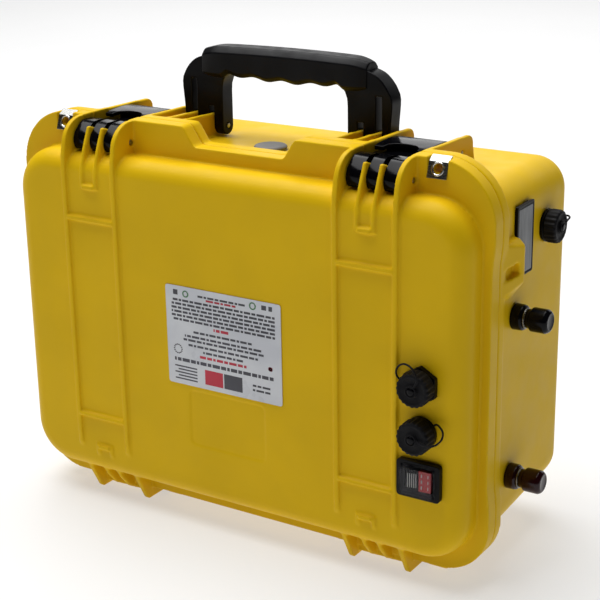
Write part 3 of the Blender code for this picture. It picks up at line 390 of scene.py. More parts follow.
def flange_outline():
    """Outer edge of the flange: bulged corners and a dip below the handle."""
    half = [(0.0, FLANGE_LOW)]
    half += arc((FLANGE_HALF - LOWER_RADIUS, FLANGE_LOW + LOWER_RADIUS),
                LOWER_RADIUS, -90, 0, 20)
    half += eased((FLANGE_HALF, 58.0), (FLANGE_SIDE, 82.0), 6)
    half += eased((FLANGE_SIDE, 232.0), (FLANGE_HALF, 256.0), 6)
    half += arc((FLANGE_HALF - UPPER_RADIUS, FLANGE_HIGH - UPPER_RADIUS),
                UPPER_RADIUS, 0, 90, 24)
    half += arc((51.0, FLANGE_HIGH - 5.0), 5.0, 90, 150, 4)
    half += arc((36.5, FLANGE_DIP + 4.0), 4.0, -30, -90, 4)
    half += [(0.0, FLANGE_DIP)]
    return mirrored(half)


def eased(start, end, steps):
    """A smooth step between two outline points, along z."""
    points = []
    for step in range(steps + 1):
        t = step / steps
        blend = t * t * (3 - 2 * t)
        points.append((start[0] + (end[0] - start[0]) * blend,
                       start[1] + (end[1] - start[1]) * t))
    return points


# ---------------------------------------------------------------- solids

def lift(axis, u, v, w):
    """Outline point (u, v) at height w along the named axis, in world metres."""
    if axis == "X":
        x, y, z = w, u, v
    elif axis == "Y":
        x, y, z = u, w, v
    else:
        x, y, z = u, v, w
    return (CENTRE_X + x * MM, SEAM_Y + y * MM, z * MM)


def solid_from(bm):
    bmesh.ops.recalc_face_normals(bm, faces=bm.faces)
    mesh = bpy.data.meshes.new("solid")
    bm.to_mesh(mesh)
    bm.free()
    solid = bpy.data.objects.new("solid", mesh)
    bpy.context.scene.collection.objects.link(solid)
    return solid


def skinned(rings, closed=False):
    """A solid through rings of world points, capped at its ends or closed in a loop."""
    bm = bmesh.new()
    rows = [[bm.verts.new(spot) for spot in ring] for ring in rings]
    for lower, upper in zip(rows, rows[1:] + rows[:1] if closed else rows[1:]):
        for index in range(len(lower)):
            following = (index + 1) % len(lower)
            bm.faces.new((lower[index], lower[following],
                          upper[following], upper[index]))
    if not closed:
        bm.faces.new(list(reversed(rows[0])))
        bm.faces.new(rows[-1])
    return solid_from(bm)


def loft(axis, sections):
    """A closed solid through sections of (height, outline)."""
    return skinned([[lift(axis, u, v, height) for u, v in outline]
                    for height, outline in sections])


def prism(axis, outline, low, high):
    return loft(axis, [(low, outline), (high, outline)])


def block(x, y, z):
    """A box from three (low, high) pairs."""
    return prism("Z", rectangle(x[0], x[1], y[0], y[1]), z[0], z[1])


def rod(axis, centre, radius, start, end, sides=40):
    """A round bar between two heights, given in either order."""
    return prism(axis, circle(centre, radius, sides), *sorted((start, end)))


def turned(axis, centre, profile, sides=64, fluted=None):
    """A round piece from (height, radius) pairs; fluted(angle, height) cuts grooves."""
    sections = []
    for height, radius in profile:
        ring = []
        for step in range(sides):
            angle = 2.0 * math.pi * step / sides
            reach = radius
            if fluted:
                reach -= fluted(angle, height)
            ring.append((centre[0] + reach * math.cos(angle),
                         centre[1] + reach * math.sin(angle)))
        sections.append((height, ring))
    return loft(axis, sections)


def bake(solid):
    """Replace a solid's mesh with the result of its modifiers."""
    depsgraph = bpy.context.evaluated_depsgraph_get()
    mesh = bpy.data.meshes.new_from_object(solid.evaluated_get(depsgraph))
    solid.modifiers.clear()
    solid.data = mesh


def combine(solid, others, operation):
    for other in others:
        modifier = solid.modifiers.new("boolean", "BOOLEAN")
        modifier.operation = operation
        modifier.solver = "EXACT"
        modifier.object = other
        bake(solid)
        bpy.data.objects.remove(other)
    return solid


def joined(solid, *others):
    return combine(solid, others, "UNION")


def cut(solid, *others):
    return combine(solid, others, "DIFFERENCE")


def merged(pieces):
    """Several separate solids in one mesh."""
    bm = bmesh.new()
    for piece in pieces:
        bm.from_mesh(piece.data)
        bpy.data.objects.remove(piece)
    return solid_from(bm)


def soften(piece, voxel, rounds, keep):
    """Give moulded fillets to a solid: remesh evenly, smooth, then thin out."""
    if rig.quick():
        return
    remesh = piece.modifiers.new("remesh", "REMESH")
    remesh.mode = "VOXEL"
    remesh.voxel_size = voxel * MM
    smooth = piece.modifiers.new("smooth", "SMOOTH")
    smooth.factor = 0.5
    smooth.iterations = rounds
    thin = piece.modifiers.new("thin", "DECIMATE")
    thin.ratio = keep
    bake(piece)


def bevelled(piece, width, segments=3, angle=32.0):
    """Round a solid's sharp edges with real geometry."""
    weld = piece.modifiers.new("weld", "WELD")
    weld.merge_threshold = 0.00001
    bevel = piece.modifiers.new("bevel", "BEVEL")
    bevel.width = width * MM
    bevel.segments = segments
    bevel.limit_method = "ANGLE"
    bevel.angle_limit = math.radians(angle)


def weighted(piece, keep_sharp):
    """Let large faces decide the shading at a rounded edge."""
    normals = piece.modifiers.new("normals", "WEIGHTED_NORMAL")
    normals.weight = 80
    normals.keep_sharp = keep_sharp


def dressed(piece, name, body, surface, *nodes, slot=None):
    """Name a piece, give it its surface, and let it ride on its body."""
    piece.name = name
    piece.data.name = name
    piece.data.materials.clear()
    piece.data.materials.append(surface)
    piece.data.shade_smooth()
    weighted(piece, True)
    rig.ride(piece, body)
    if nodes:
        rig.replaces(piece, *nodes)
    if slot:
        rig.slot(piece, slot)


# ---------------------------------------------------------------- materials

class Surface:
    """One procedural material and the nodes that vary it."""

    def __init__(self, name, colour, roughness, metallic=0.0, shine=0.5):
        self.material = bpy.data.materials.new(name)
        self.material.use_nodes = True
        self.tree = self.material.node_tree
        self.shader = self.tree.nodes["Principled BSDF"]
        self.shader.inputs["Base Color"].default_value = (*colour, 1.0)
        self.shader.inputs["Roughness"].default_value = roughness
        self.shader.inputs["Metallic"].default_value = metallic
        self.shader.inputs["Specular IOR Level"].default_value = shine
        self.coordinates = self.tree.nodes.new("ShaderNodeTexCoord")

    def node(self, kind, **settings):
        made = self.tree.nodes.new(kind)
        for key, value in settings.items():
            setattr(made, key, value)
        return made

    def link(self, start, end):
        self.tree.links.new(start, end)

    def noise(self, scale, detail=3.0, stretch=None):
        """Fractal noise over the object, in features per metre."""
        made = self.node("ShaderNodeTexNoise")
        made.inputs["Scale"].default_value = scale
        made.inputs["Detail"].default_value = detail
        vector = self.coordinates.outputs["Object"]
        if stretch:
            mapping = self.node("ShaderNodeMapping")
            mapping.inputs["Scale"].default_value = stretch
            self.link(vector, mapping.inputs["Vector"])
            vector = mapping.outputs["Vector"]
        self.link(vector, made.inputs["Vector"])
        return made.outputs["Fac"]

    def vary_colour(self, source, dark, light, low=0.35, high=0.65):
        """Fade from dark to light as the source rises from low to high."""
        made = self.node("ShaderNodeValToRGB")
        stops = ((low, dark), (high, light))
        for element, (position, colour) in zip(made.color_ramp.elements, stops):
            element.position = position
            element.color = (*colour, 1.0)
        self.link(source, made.inputs["Fac"])
        self.link(made.outputs["Color"], self.shader.inputs["Base Color"])

    def vary_roughness(self, source, smooth, rough):
        """Roughness that follows the middle part of the source's range."""
        made = self.node("ShaderNodeMapRange")
        for name, value in (("From Min", 0.3), ("From Max", 0.7),
                            ("To Min", smooth), ("To Max", rough)):
            made.inputs[name].default_value = value
        self.link(source, made.inputs["Value"])
        self.link(made.outputs["Result"], self.shader.inputs["Roughness"])

    def bump(self, source, height, strength=1.0):
        """Relief of the given height in metres, stacked on any earlier relief."""
        made = self.node("ShaderNodeBump")
        made.inputs["Strength"].default_value = strength
        made.inputs["Distance"].default_value = height
        self.link(source, made.inputs["Height"])
        earlier = self.shader.inputs["Normal"]
        if earlier.is_linked:
            self.link(earlier.links[0].from_socket, made.inputs["Normal"])
        self.link(made.outputs["Normal"], earlier)


def shade(colour, factor):
    return tuple(min(1.0, value * factor) for value in colour)


def moulded(name, colour, roughness, grain=1500.0, relief=0.00004, spread=0.10,
            shine=0.5):
    """Moulded plastic: fine spark-eroded grain, faint flow marks, uneven sheen."""
    surface = Surface(name, colour, roughness, shine=shine)
    clouds = surface.noise(14.0, 4.0)
    surface.vary_colour(clouds, shade(colour, 1.0 - spread), shade(colour, 1.0 + spread * 0.6))
    surface.vary_roughness(surface.noise(55.0, 5.0), roughness - 0.07, roughness + 0.08)
    surface.bump(surface.noise(grain, 2.0), relief, 0.5)
    return surface.material


def metal(name, colour, roughness, stretch=(1.0, 1.0, 30.0)):
    """Metal with fine drawing lines and a little tarnish."""
    surface = Surface(name, colour, roughness, metallic=1.0)
    lines = surface.noise(260.0, 3.0, stretch)
    surface.vary_colour(surface.noise(70.0), shade(colour, 0.86), shade(colour, 1.06))
    surface.vary_roughness(lines, roughness - 0.08, roughness + 0.10)
    surface.bump(lines, 0.00002, 0.4)
    return surface.material


def rubber_material(name, colour):
    """Matt rubber with a fine stipple."""
    surface = Surface(name, colour, 0.62, shine=0.16)
    surface.vary_colour(surface.noise(40.0), shade(colour, 0.7), shade(colour, 1.5))
    surface.vary_roughness(surface.noise(160.0), 0.5, 0.72)
    surface.bump(surface.noise(1900.0, 2.0), 0.00006, 0.6)
    return surface.material


def make_materials():
    made = {}
    made["yellow"] = moulded("case_yellow", (0.80, 0.51, 0.006), 0.44,
                             grain=1300.0, relief=0.00005, spread=0.05, shine=0.09)
    made["black"] = moulded("black_plastic", (0.002, 0.002, 0.003), 0.34, spread=0.3,
                            shine=0.11)
    made["gloss"] = moulded("black_gloss", (0.002, 0.002, 0.003), 0.16,
                            grain=700.0, relief=0.00002, spread=0.3, shine=0.12)
    made["rubber"] = rubber_material("black_rubber", (0.004, 0.004, 0.005))
    made["grip"] = grip_material()
    made["steel"] = metal("stainless_steel", (0.30, 0.30, 0.29), 0.26)
    # A lighter copy of the stainless steel: painted highlight on the padlock rims.
    made["bright"] = metal("steel_painted_highlight", (0.75, 0.75, 0.73), 0.20)
    made["brass"] = metal("brass", (0.72, 0.50, 0.20), 0.30)
    made["copper"] = metal("copper", (0.72, 0.36, 0.22), 0.30, (30.0, 1.0, 1.0))
    made["red_knob"] = moulded("dark_red", (0.020, 0.0015, 0.003), 0.18,
                               grain=700.0, relief=0.00002, spread=0.3, shine=0.3)
    made["rocker_red"] = moulded("rocker_red", (0.62, 0.030, 0.035), 0.30,
                                 grain=900.0, spread=0.15)
    made["grey"] = moulded("grey_plastic", (0.20, 0.19, 0.18), 0.5, spread=0.2)
    made["clear"] = clear_material()
    made["meter"] = meter_material()
    made["label"] = label_material()
    made["ink"] = moulded("label_ink", (0.055, 0.055, 0.07), 0.5, spread=0.4)
    made["ink_red"] = moulded("label_red", (0.50, 0.020, 0.045), 0.5, spread=0.3)
    made["ink_green"] = moulded("label_green", (0.06, 0.22, 0.07), 0.5, spread=0.3)
    made["foil"] = metal("cell_foil", (0.55, 0.57, 0.60), 0.32, (1.0, 1.0, 1.0))
    made["foam"] = foam_material()
    made["board"] = board_material()
    made["sink"] = metal("heat_sink", (0.45, 0.46, 0.48), 0.4, (1.0, 30.0, 1.0))
    # Light marks on the rocker, also used as painted highlights on its black ribs.
    made["white"] = moulded("white_mark_and_rib_highlight", (0.75, 0.74, 0.72), 0.4, spread=0.1)
    return made


def grip_material():
    """Soft over-moulded rubber: satin, with a fine leather-like stipple."""
    surface = Surface("grip_rubber", (0.003, 0.003, 0.004), 0.36, shine=0.13)
    surface.vary_colour(surface.noise(60.0), (0.002, 0.002, 0.003), (0.005, 0.005, 0.006))
    surface.vary_roughness(surface.noise(120.0), 0.33, 0.50)
    surface.bump(surface.noise(1500.0, 2.0), 0.00006, 0.5)
    surface.bump(surface.noise(160.0, 2.0), 0.00015, 0.2)
    return surface.material


def clear_material():
    """Clear soft cover: mostly see-through, with bright scuffed highlights."""
    surface = Surface("clear_cover", (0.10, 0.10, 0.11), 0.12)
    surface.shader.inputs["Alpha"].default_value = 0.13
    surface.vary_roughness(surface.noise(90.0), 0.06, 0.20)
    surface.bump(surface.noise(220.0), 0.00005, 0.4)
    return surface.material


def meter_material():
    """Smoked window whose colour is lightened in tall bands, a painted reflection standing in for its vertical sheen.
    """
    surface = Surface("meter_window", (0.10, 0.11, 0.12), 0.16, shine=0.25)
    # Painted reflection: stretched noise lightens the colour in tall bands, in place of the window's sheen.
    painted_sheen = surface.noise(38.0, 4.0, (1.0, 2.4, 0.35))
    surface.vary_colour(painted_sheen, (0.045, 0.05, 0.055), (0.20, 0.21, 0.22), 0.32, 0.68)
    surface.vary_roughness(surface.noise(120.0), 0.10, 0.26)
    surface.bump(surface.noise(240.0), 0.00002, 0.3)
    return surface.material


def label_material():
    """Glossy label paper, slightly uneven."""
    surface = Surface("label_paper", (0.66, 0.68, 0.72), 0.34)
    surface.vary_colour(surface.noise(30.0), (0.60, 0.62, 0.67), (0.72, 0.74, 0.77))
    surface.vary_roughness(surface.noise(60.0), 0.26, 0.42)
    surface.bump(surface.noise(700.0), 0.00001, 0.4)
    return surface.material


def foam_material():
    """Dark open-celled foam."""
    surface = Surface("foam", (0.020, 0.020, 0.022), 0.95)
    surface.vary_colour(surface.noise(800.0), (0.008, 0.008, 0.009), (0.045, 0.045, 0.05))
    surface.bump(surface.noise(900.0, 4.0), 0.0006, 0.7)
    return surface.material


def board_material():
    """Solder mask with the faint maze of tracks under it."""
    surface = Surface("circuit_board", (0.015, 0.14, 0.05), 0.35)
    cells = surface.node("ShaderNodeTexVoronoi", feature="F1", distance="MANHATTAN")
    cells.inputs["Scale"].default_value = 190.0
    surface.link(surface.coordinates.outputs["Object"], cells.inputs["Vector"])
    surface.vary_colour(cells.outputs["Distance"], (0.010, 0.10, 0.035),
                        (0.030, 0.22, 0.085), 0.25, 0.75)
    surface.bump(cells.outputs["Distance"], 0.00004, 0.5)
    return surface.material


# ---------------------------------------------------------------- case shells

def body_half(y):
    """Half width of the base's side walls at depth y."""
    return BODY_HALF - BODY_DRAFT * y / BASE_DEPTH


def body_section(y, inset, corner):
    """The base's walls at depth y, moved inwards by an inset."""
    half = body_half(y) - inset
    low = BODY_LOW + BODY_DRAFT_Z * y / BASE_DEPTH + inset
    high = BODY_HIGH - BODY_DRAFT_Z * y / BASE_DEPTH - inset
    return rounded_rectangle(-half, half, low, high, corner - inset)


def edge_steps(steps=10):
    """Pairs of (share of the edge radius forward, share inward) round an edge."""
    return [(math.sin(math.pi / 2 * step / steps),
             1.0 - math.cos(math.pi / 2 * step / steps)) for step in range(steps + 1)]


def base_block(front, wall, corner):
    """The base's tub, or with a wall thickness its cavity."""
    rear = BASE_DEPTH - wall
    edge = BODY_EDGE - wall
    sections = [(front, body_section(front, wall, corner))]
    for along, inward in edge_steps():
        y = rear - edge + edge * along
        sections.append((y, body_section(y, wall + edge * inward, corner)))
    return loft("Y", sections)


def dome_section(inset):
    return rounded_rectangle(-DOME_HALF + inset, DOME_HALF - inset,
                             DOME_LOW + inset, DOME_HIGH - inset,
                             DOME_CORNER - inset)


def dome_block(back, wall):
    """The lid's dome, or with a wall thickness its cavity."""
    front = LID_DEPTH - wall
    edge = DOME_EDGE - wall
    sections = [(back, dome_section(wall))]
    for along, inward in edge_steps():
        y = -(front - edge + edge * along)
        sections.append((y, dome_section(wall + edge * inward)))
    return loft("Y", sections)


def band_spans(*spans):
    """Spans along x, given from a band's middle, on the left and the right band."""
    return [tuple(sorted((side * (BAND + low), side * (BAND + high))))
            for side in (-1, 1) for low, high in spans]


def both_sides(spans):
    """Spans along x on the right, each followed by its mirror image."""
    return [span for low, high in spans for span in ((low, high), (-high, -low))]


def ridges(spans, *outlines):
    """Side views pushed out along x over several spans."""
    return [prism("X", outline, *span) for span in spans for outline in outlines]


def lid_cheek_outline():
    """Side view of a lid cheek: latch seat on top, foot and hinge knuckle below."""
    outline = [(-GAP / 2, FLANGE_HIGH), (-13.0, FLANGE_HIGH)]
    outline += arc((-15.0, 287.0), 21.0, 80, 165, 12)
    outline += [(CHEEK_FACE + 0.8, 281.0), (CHEEK_FACE, 268.0), (CHEEK_FACE, 58.0),
                (CHEEK_FACE + 1.0, 48.0)]
    outline += [(-33.5, 37.0), (-27.0, 20.0), (-17.5, 2.0), (-15.5, 0.0)]
    outline += arc(HINGE_AXIS, KNUCKLE, -90, 118, 24)
    outline += [(-GAP / 2, HINGE_AXIS[1] + 7.6)]
    return outline


def knife_rib_outline():
    """Side view of the upper end of a thin rib between the cheeks."""
    return [(RIB_FACE, 258.0), (RIB_FACE, 266.0), (-36.0, 277.0), (-33.0, 287.0),
            (-28.5, 297.0), (-26.0, 303.0), (-24.0, 303.0), (-9.0, 297.0),
            (-9.0, 278.0), (-30.0, 262.0)]


def lower_rib_outline():
    """Side view of the lower end of a thin rib between the cheeks."""
    return [(-30.0, 47.0), (RIB_FACE, 49.0), (RIB_FACE + 0.6, 42.0), (-33.5, 31.0),
            (-27.0, 19.0), (-18.0, 8.0), (-11.0, 4.0), (-9.0, 4.0), (-9.0, 30.0)]


def raised_bar(height):
    """Section of a cross rib: a sloping top and a steep lower side."""
    face = RIB_FACE - 1.2
    return [(-30.0, height + 2.8), (-LID_DEPTH + 0.3, height + 2.8),
            (face, height + 1.4), (face, height - 1.0),
            (-LID_DEPTH + 0.3, height - 1.8), (-30.0, height - 1.8)]


def lid_bands():
    """Ridges, ribs and hinge cheeks that belong to the lid."""
    pieces = ridges(band_spans(CHEEK_IN, CHEEK_OUT), lid_cheek_outline())
    pieces += ridges(band_spans(*KNIFE_RIBS), knife_rib_outline(), lower_rib_outline())
    for span in band_spans(BETWEEN_CHEEKS):
        pieces += ridges([span], *map(raised_bar, CROSS_RIBS))
        pieces.append(block(span, (-10.0, -1.0), (3.0, 12.0)))
    return pieces + ridges(band_spans(BETWEEN_RIBS), *map(raised_bar, SHORT_RIBS))


def flange_notches():
    """Openings in the flange where the latches pass."""
    return [block(span, (-14.0, 14.0), (289.0, 312.0))
            for span in band_spans((-21.5, 21.5))]


def bores(axis_point, radius, spans):
    """Round cuts along x over several spans."""
    return [rod("X", axis_point, radius, low, high) for low, high in spans]


def pin_bores(axis_point, spans):
    """Pin holes that run a little past each span."""
    return [rod("X", axis_point, PIN_HOLE, low - 0.5, high + 0.5, PIN_SIDES)
            for low, high in spans]


def gasket_outline(inset):
    """The gasket groove's outer edge, moved inwards by an inset."""
    return rounded_rectangle(-GASKET_HALF + inset, GASKET_HALF - inset,
                             GASKET_LOW + inset, GASKET_HIGH - inset, 37.0 - inset)


def lid_cuts():
    """What is taken out of the lid: cavity, gasket groove, openings and bores."""
    front = -(LID_DEPTH + 1.0)
    cuts = [dome_block(1.0, LID_WALL)]
    ring = prism("Y", gasket_outline(-GAP), -3.0, 1.0)
    cuts.append(cut(ring, prism("Y", gasket_outline(GASKET_WIDTH + GAP), -4.0, 2.0)))
    cuts += bores(HINGE_AXIS, LUG_ROOM, band_spans((-46.5, -32.5), (30.5, 47.5)))
    for side in (-1, 1):
        x = side * EYELET[0]
        reach = EYELET_SIZE / 2 + GAP
        cuts.append(prism("X", PLATE_SEAT, x - reach, x + reach))
        cuts.append(rod("Y", (x, EYELET[1]), EYELET_HOLE, -16.0, 1.0))
    for node in ("charge_socket_nut", "output_socket_nut"):
        x, _, z = middle_of(node)
        cuts.append(rod("Y", (x, z), SOCKET_HOLE, front, SOCKET_SEAT, 56))
    x, _, z = middle_of("switch_body")
    wide, tall = SWITCH_HOLE
    cuts.append(block((x - wide, x + wide), (front, SOCKET_SEAT), (z - tall, z + tall)))
    cuts.append(prism("Y", rounded_rectangle(*LABEL_RECESS, 5.0, 6),
                      front, -(LID_DEPTH - RECESS_DEPTH)))
    cuts += pin_bores(HINGE_AXIS, band_spans(CHEEK_IN, CHEEK_OUT))
    cuts += pin_bores(CATCH_AXIS, band_spans(CHEEK_IN, CHEEK_OUT, *KNIFE_RIBS))
    return cuts


def make_lid_skin(looks):
    """The lid: flange, dome and bands joined, then cut and softened."""
    lid = cut(prism("Y", flange_outline(), -LID_FLANGE, -GAP / 2), *flange_notches())
    lid = joined(lid, dome_block(-6.0, 0.0), *lid_bands())
    lid = cut(lid, *lid_cuts())
    soften(lid, 0.85, 2, 0.42)
    dressed(lid, "lid_skin", "lid", looks["yellow"], "lid_shell",
            slot="yellow_shell")


def base_cheek_outline():
    """Side view of the cheek behind a latch."""
    outline = [(GAP / 2, 284.5), (74.5, 282.5), (75.5, 287.0), (73.5, 297.0)]
    outline += arc((66.0, 299.2), 7.4, 10, 90, 8)
    outline += [(GAP / 2, FLANGE_HIGH)]
    return outline


def handle_lug_outline():
    """Side view of a lug that carries a handle leg."""
    outline = [(8.0, 284.5), (66.0, 283.0)]
    outline += arc((58.5, 297.0), 7.8, 0, 90, 10)
    outline += [(8.0, 307.4)]
    return outline


def foot_outline():
    """Side view of a foot under the base."""
    return [(24.0, 3.0), (26.5, 0.0), (117.0, 0.0), (121.0, 4.0), (125.0, 34.5),
            (11.0, 30.0), (9.0, 20.0)]


def strap_lug_outline():
    """A right-hand strap lug seen from above."""
    return [(193.5, 4.0), (FLANGE_SIDE, 4.0), (STRAP_HALF - 0.4, 26.0),
            (STRAP_HALF, 28.0), (STRAP_HALF, 29.5), (STRAP_HALF - 1.0, 30.5),
            (193.5, 30.5)]


def make_strap_lug(side):
    """A wedge on the side wall with a bevelled top, a slot and a tapered foot."""
    lug = prism("Z", [(side * x, y) for x, y in strap_lug_outline()],
                STRAP_LOW - 20.0, STRAP_HIGH)
    top = [(side * (STRAP_HALF - 6.0), STRAP_HIGH + 1.0),
           (side * (STRAP_HALF + 2.0), STRAP_HIGH - 7.0),
           (side * (STRAP_HALF + 2.0), STRAP_HIGH + 1.0)]
    foot = [(side * 197.0, STRAP_LOW - 21.0), (side * (STRAP_HALF + 1.0), STRAP_LOW - 8.0),
            (side * (STRAP_HALF + 1.0), STRAP_LOW - 21.0)]
    lug = cut(lug, prism("Y", top, 0.0, 40.0), prism("Y", foot, 0.0, 40.0))
    slot = prism("Z", [(side * 209.0, 1.0), (side * 209.0, 24.0), (side * 199.2, 24.0),
                       (side * 200.0, 1.0)], STRAP_LOW - 4.0, STRAP_LOW + 4.5)
    lean = Matrix.Rotation(math.radians(7.0), 4, "X")
    middle = Vector(lift("Z", 0.0, 12.0, STRAP_LOW))
    for vertex in slot.data.vertices:
        vertex.co = middle + lean @ (vertex.co - middle)
    return cut(lug, slot)


def base_ribs():
    """Cheeks, feet and lugs that belong to the base."""
    hinge_lug = arc(HINGE_AXIS, LUG_RADIUS, 118, 360, 24)
    hinge_lug += [(HINGE_AXIS[0] + LUG_RADIUS, 24.0), (GAP + 0.2, 24.0)]
    pieces = ridges(band_spans(CHEEK_IN, CHEEK_OUT), base_cheek_outline(), foot_outline())
    pieces += ridges(both_sides(HANDLE_LUGS), handle_lug_outline())
    pieces += ridges(band_spans(*LUG_SPANS), hinge_lug)
    return pieces + [make_strap_lug(side) for side in (-1, 1)]


def base_cuts():
    """What is taken out of the base: cavity, hinge room, openings and bores."""
    wall_out = STRAP_HALF + 3.0
    wall_in = BODY_HALF - 12.0
    cuts = [base_block(-1.0, WALL, CAVITY_CORNER)]
    cuts += bores(HINGE_AXIS, KNUCKLE_ROOM, band_spans((-26.1, -20.9), (20.9, 26.1)))
    cuts += bores(HINGE_AXIS, PIN_ROOM, band_spans((-34.0, 32.0)))
    for side in (-1, 1):
        cuts.append(rod("Y", (side * EYELET[0], EYELET[1]), EYELET_HOLE, -1.0, 12.0))
    _, y, z = middle_of("meter_case")
    deep, tall = METER_HOLE
    cuts.append(block((wall_in, wall_out), (y - deep, y + deep), (z - tall, z + tall)))
    _, y, z = middle_of("side_socket")
    cuts.append(rod("X", (y, z), SOCKET_HOLE, wall_in, wall_out, 56))
    for node in ("negative_stud", "positive_stud"):
        _, y, z = middle_of(node)
        cuts.append(rod("X", (y, z), STUD_HOLE, wall_in, wall_out))
    x, y, _ = middle_of("purge_valve")
    cuts.append(rod("Z", (x, y), STUD_HOLE, 278.0, 295.0))
    cuts += pin_bores(HINGE_AXIS, band_spans(*LUG_SPANS))
    cuts += pin_bores(UPPER_AXIS, band_spans(CHEEK_IN, CHEEK_OUT))
    return cuts + pin_bores(UPPER_AXIS, both_sides(HANDLE_LUGS))


def make_base_skin(looks):
    """The base: flange, tub and ribs joined, then cut and softened."""
    base = cut(prism("Y", flange_outline(), GAP / 2, BASE_FLANGE), *flange_notches())
    base = joined(base, base_block(2.0, 0.0, BODY_CORNER), *base_ribs())
    base = cut(base, *base_cuts())
    soften(base, 1.1, 3, 0.36)
    dressed(base, "base_skin", "base", looks["yellow"], "base_shell",
            slot="yellow_shell")


# ---------------------------------------------------------------- fittings

def kept(name, surface, width):
    """Keep a CAD node's shape: round its edges and give it a surface."""
    node = frame["nodes"][name]
    node.data.materials.clear()
    node.data.materials.append(surface)
    bevelled(node, width, 2)
    weighted(node, False)


def keep_fittings(looks):
    """CAD pieces whose shape is already right."""
    for word in ("left", "right"):
        kept("padlock_plate_" + word, looks["steel"], 0.25)
        for pin in ("hinge_pin_", "catch_pin_", "upper_pin_", "claw_pin_"):
            kept(pin + word, looks["steel"], 0.3)
        kept("latch_lever_" + word, looks["gloss"], 0.6)
        kept("latch_claw_" + word, looks["gloss"], 0.55)
    for socket in ("charge_socket", "output_socket", "side_socket"):
        kept(socket + "_nut", looks["black"], 0.4)
    for word in ("negative", "positive"):
        kept(word + "_stud", looks["brass"], 0.3)
        kept(word + "_bus_bar", looks["copper"], 0.3)
    for number in range(1, 5):
        kept("cell_module_%d" % number, looks["foil"], 1.2)
    for name, look, width in (
            ("lid_gasket", "rubber", 0.5), ("rating_label", "label", 0.1),
            ("charge_socket", "black", 0.5), ("switch_body", "black", 0.6),
            ("switch_cover", "clear", 0.5), ("meter_case", "black", 0.4),
            ("meter_window", "meter", 0.2), ("purge_valve", "grey", 0.5),
            ("foam_cradle", "foam", 1.5), ("protection_board", "board", 0.2),
            ("board_heat_sink", "sink", 0.3)):
        kept(name, looks[look], width)


def stepped(face, way, steps, radius=0.0):
    """Profile points from pairs of distance out of a face and change of radius."""
    return [(face + way * out, radius + change) for out, change in steps]


def flutes(low, high):
    """Groove depth round a cap's side, fading out towards its ends."""
    def grooved(angle, height):
        inside = min(height - low, high - height)
        share = max(0.0, min(1.0, inside / 1.2))
        return FLUTE_DEPTH * share * (0.5 - 0.5 * math.cos(CAP_FLUTES * angle))
    return grooved


def make_cap(name, axis, way, looks):
    """A screw cap: fluted skirt, rounded rim, dished face and a raised hub ring."""
    x, y, z = box_of(name)
    across, along = (x, y) if axis == "Y" else (y, x)
    centre = (sum(across) / 2, sum(z) / 2)
    start, end = along[::way]
    radius = (across[1] - across[0]) / 2
    profile = stepped(start, way, CAP_MOUTH, radius)
    profile += stepped(end, way, CAP_RIM, radius) + stepped(end, way, CAP_HUB)
    cap = turned(axis, centre, profile, 120, flutes(*along))
    cap = cut(cap, rod(axis, centre, SOCKET_BARREL + 0.5, start - way,
                       end - way * CAP_END, 64))
    dressed(cap, name + "_skin", name, looks["rubber"], name, slot="black_rubber")
    head = turned(axis, centre, stepped(end, way, CAP_RIVET), 40)
    dressed(head, name + "_rivet_skin", name + "_rivet", looks["gloss"],
            name + "_rivet", slot="black_plastic")
    eye = ring_piece(axis, centre, end + way * 0.95, EYE_RADIUS, EYE_WIRE)
    dressed(eye, name + "_tether_eye", name + "_rivet", looks["rubber"],
            slot="black_rubber")
    return centre, end


def ring_piece(axis, centre, height, major, minor, sides=48, around=12):
    """A round ring about an axis."""
    rings = []
    for step in range(sides):
        angle = 2.0 * math.pi * step / sides
        ring = []
        for turn in range(around):
            lean = 2.0 * math.pi * turn / around
            reach = major + minor * math.cos(lean)
            ring.append(lift(axis, centre[0] + reach * math.cos(angle),
                             centre[1] + reach * math.sin(angle),
                             height + minor * math.sin(lean)))
        rings.append(ring)
    return skinned(rings, closed=True)


def smooth_path(points, per_span):
    """A Catmull-Rom curve through the given points."""
    padded = [points[0]] + list(points) + [points[-1]]
    path = []
    for index in range(1, len(padded) - 2):
        corners = [Vector(p) for p in padded[index - 1:index + 3]]
        for step in range(per_span):
            path.append(between(corners, step / per_span))
    path.append(Vector(points[-1]))
    return path


def between(corners, t):
    """The curve's point at share t between the two middle corners."""
    before, start, end, after = corners
    return 0.5 * (start * 2.0 + (end - before) * t
                  + (before * 2.0 - start * 5.0 + end * 4.0 - after) * t ** 2
                  + (start * 3.0 - before - end * 3.0 + after) * t ** 3)


def swept(path, radius, around=12):
    """A closed tube along a path of case-millimetre points."""
    rings = []
    side = Vector((0.0, 0.0, 1.0))
    for index, spot in enumerate(path):
        ahead = path[min(index + 1, len(path) - 1)] - path[max(index - 1, 0)]
        ahead.normalize()
        side = (side - ahead * side.dot(ahead)).normalized()
        other = ahead.cross(side)
        ring = []
        for turn in range(around):
            lean = 2.0 * math.pi * turn / around
            point = spot + (side * math.cos(lean) + other * math.sin(lean)) * radius
            ring.append(lift("Z", *point))
        rings.append(ring)
    return skinned(rings)


def make_tether(name, fixed, loose, points, looks, rigid_from=1.0):
    """A cap's tether, fixed at the socket and following the cap's rivet.

    The points run from the rivet to the socket; the share of the strand after
    rigid_from moves with the rivet as it is.
    """
    path = smooth_path(list(reversed(points)), 6)
    cord = swept(path, TETHER_RADIUS)
    cord.name = name + "_strand"
    cord.data.name = cord.name
    cord.data.materials.append(looks["rubber"])
    cord.data.shade_smooth()
    route = [lift("Z", *spot) for spot in path]
    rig.ride(cord, fixed)
    cord.parent = None
    end = route[round((len(route) - 1) * rigid_from)]
    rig.blend(cord, fixed, loose, route[0], end)
    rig.replaces(cord, name)
    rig.slot(cord, "black_rubber")


def moved(points, x, y, z):
    """Three-number points, moved together."""
    return [(x + dx, y + dy, z + dz) for dx, dy, dz in points]


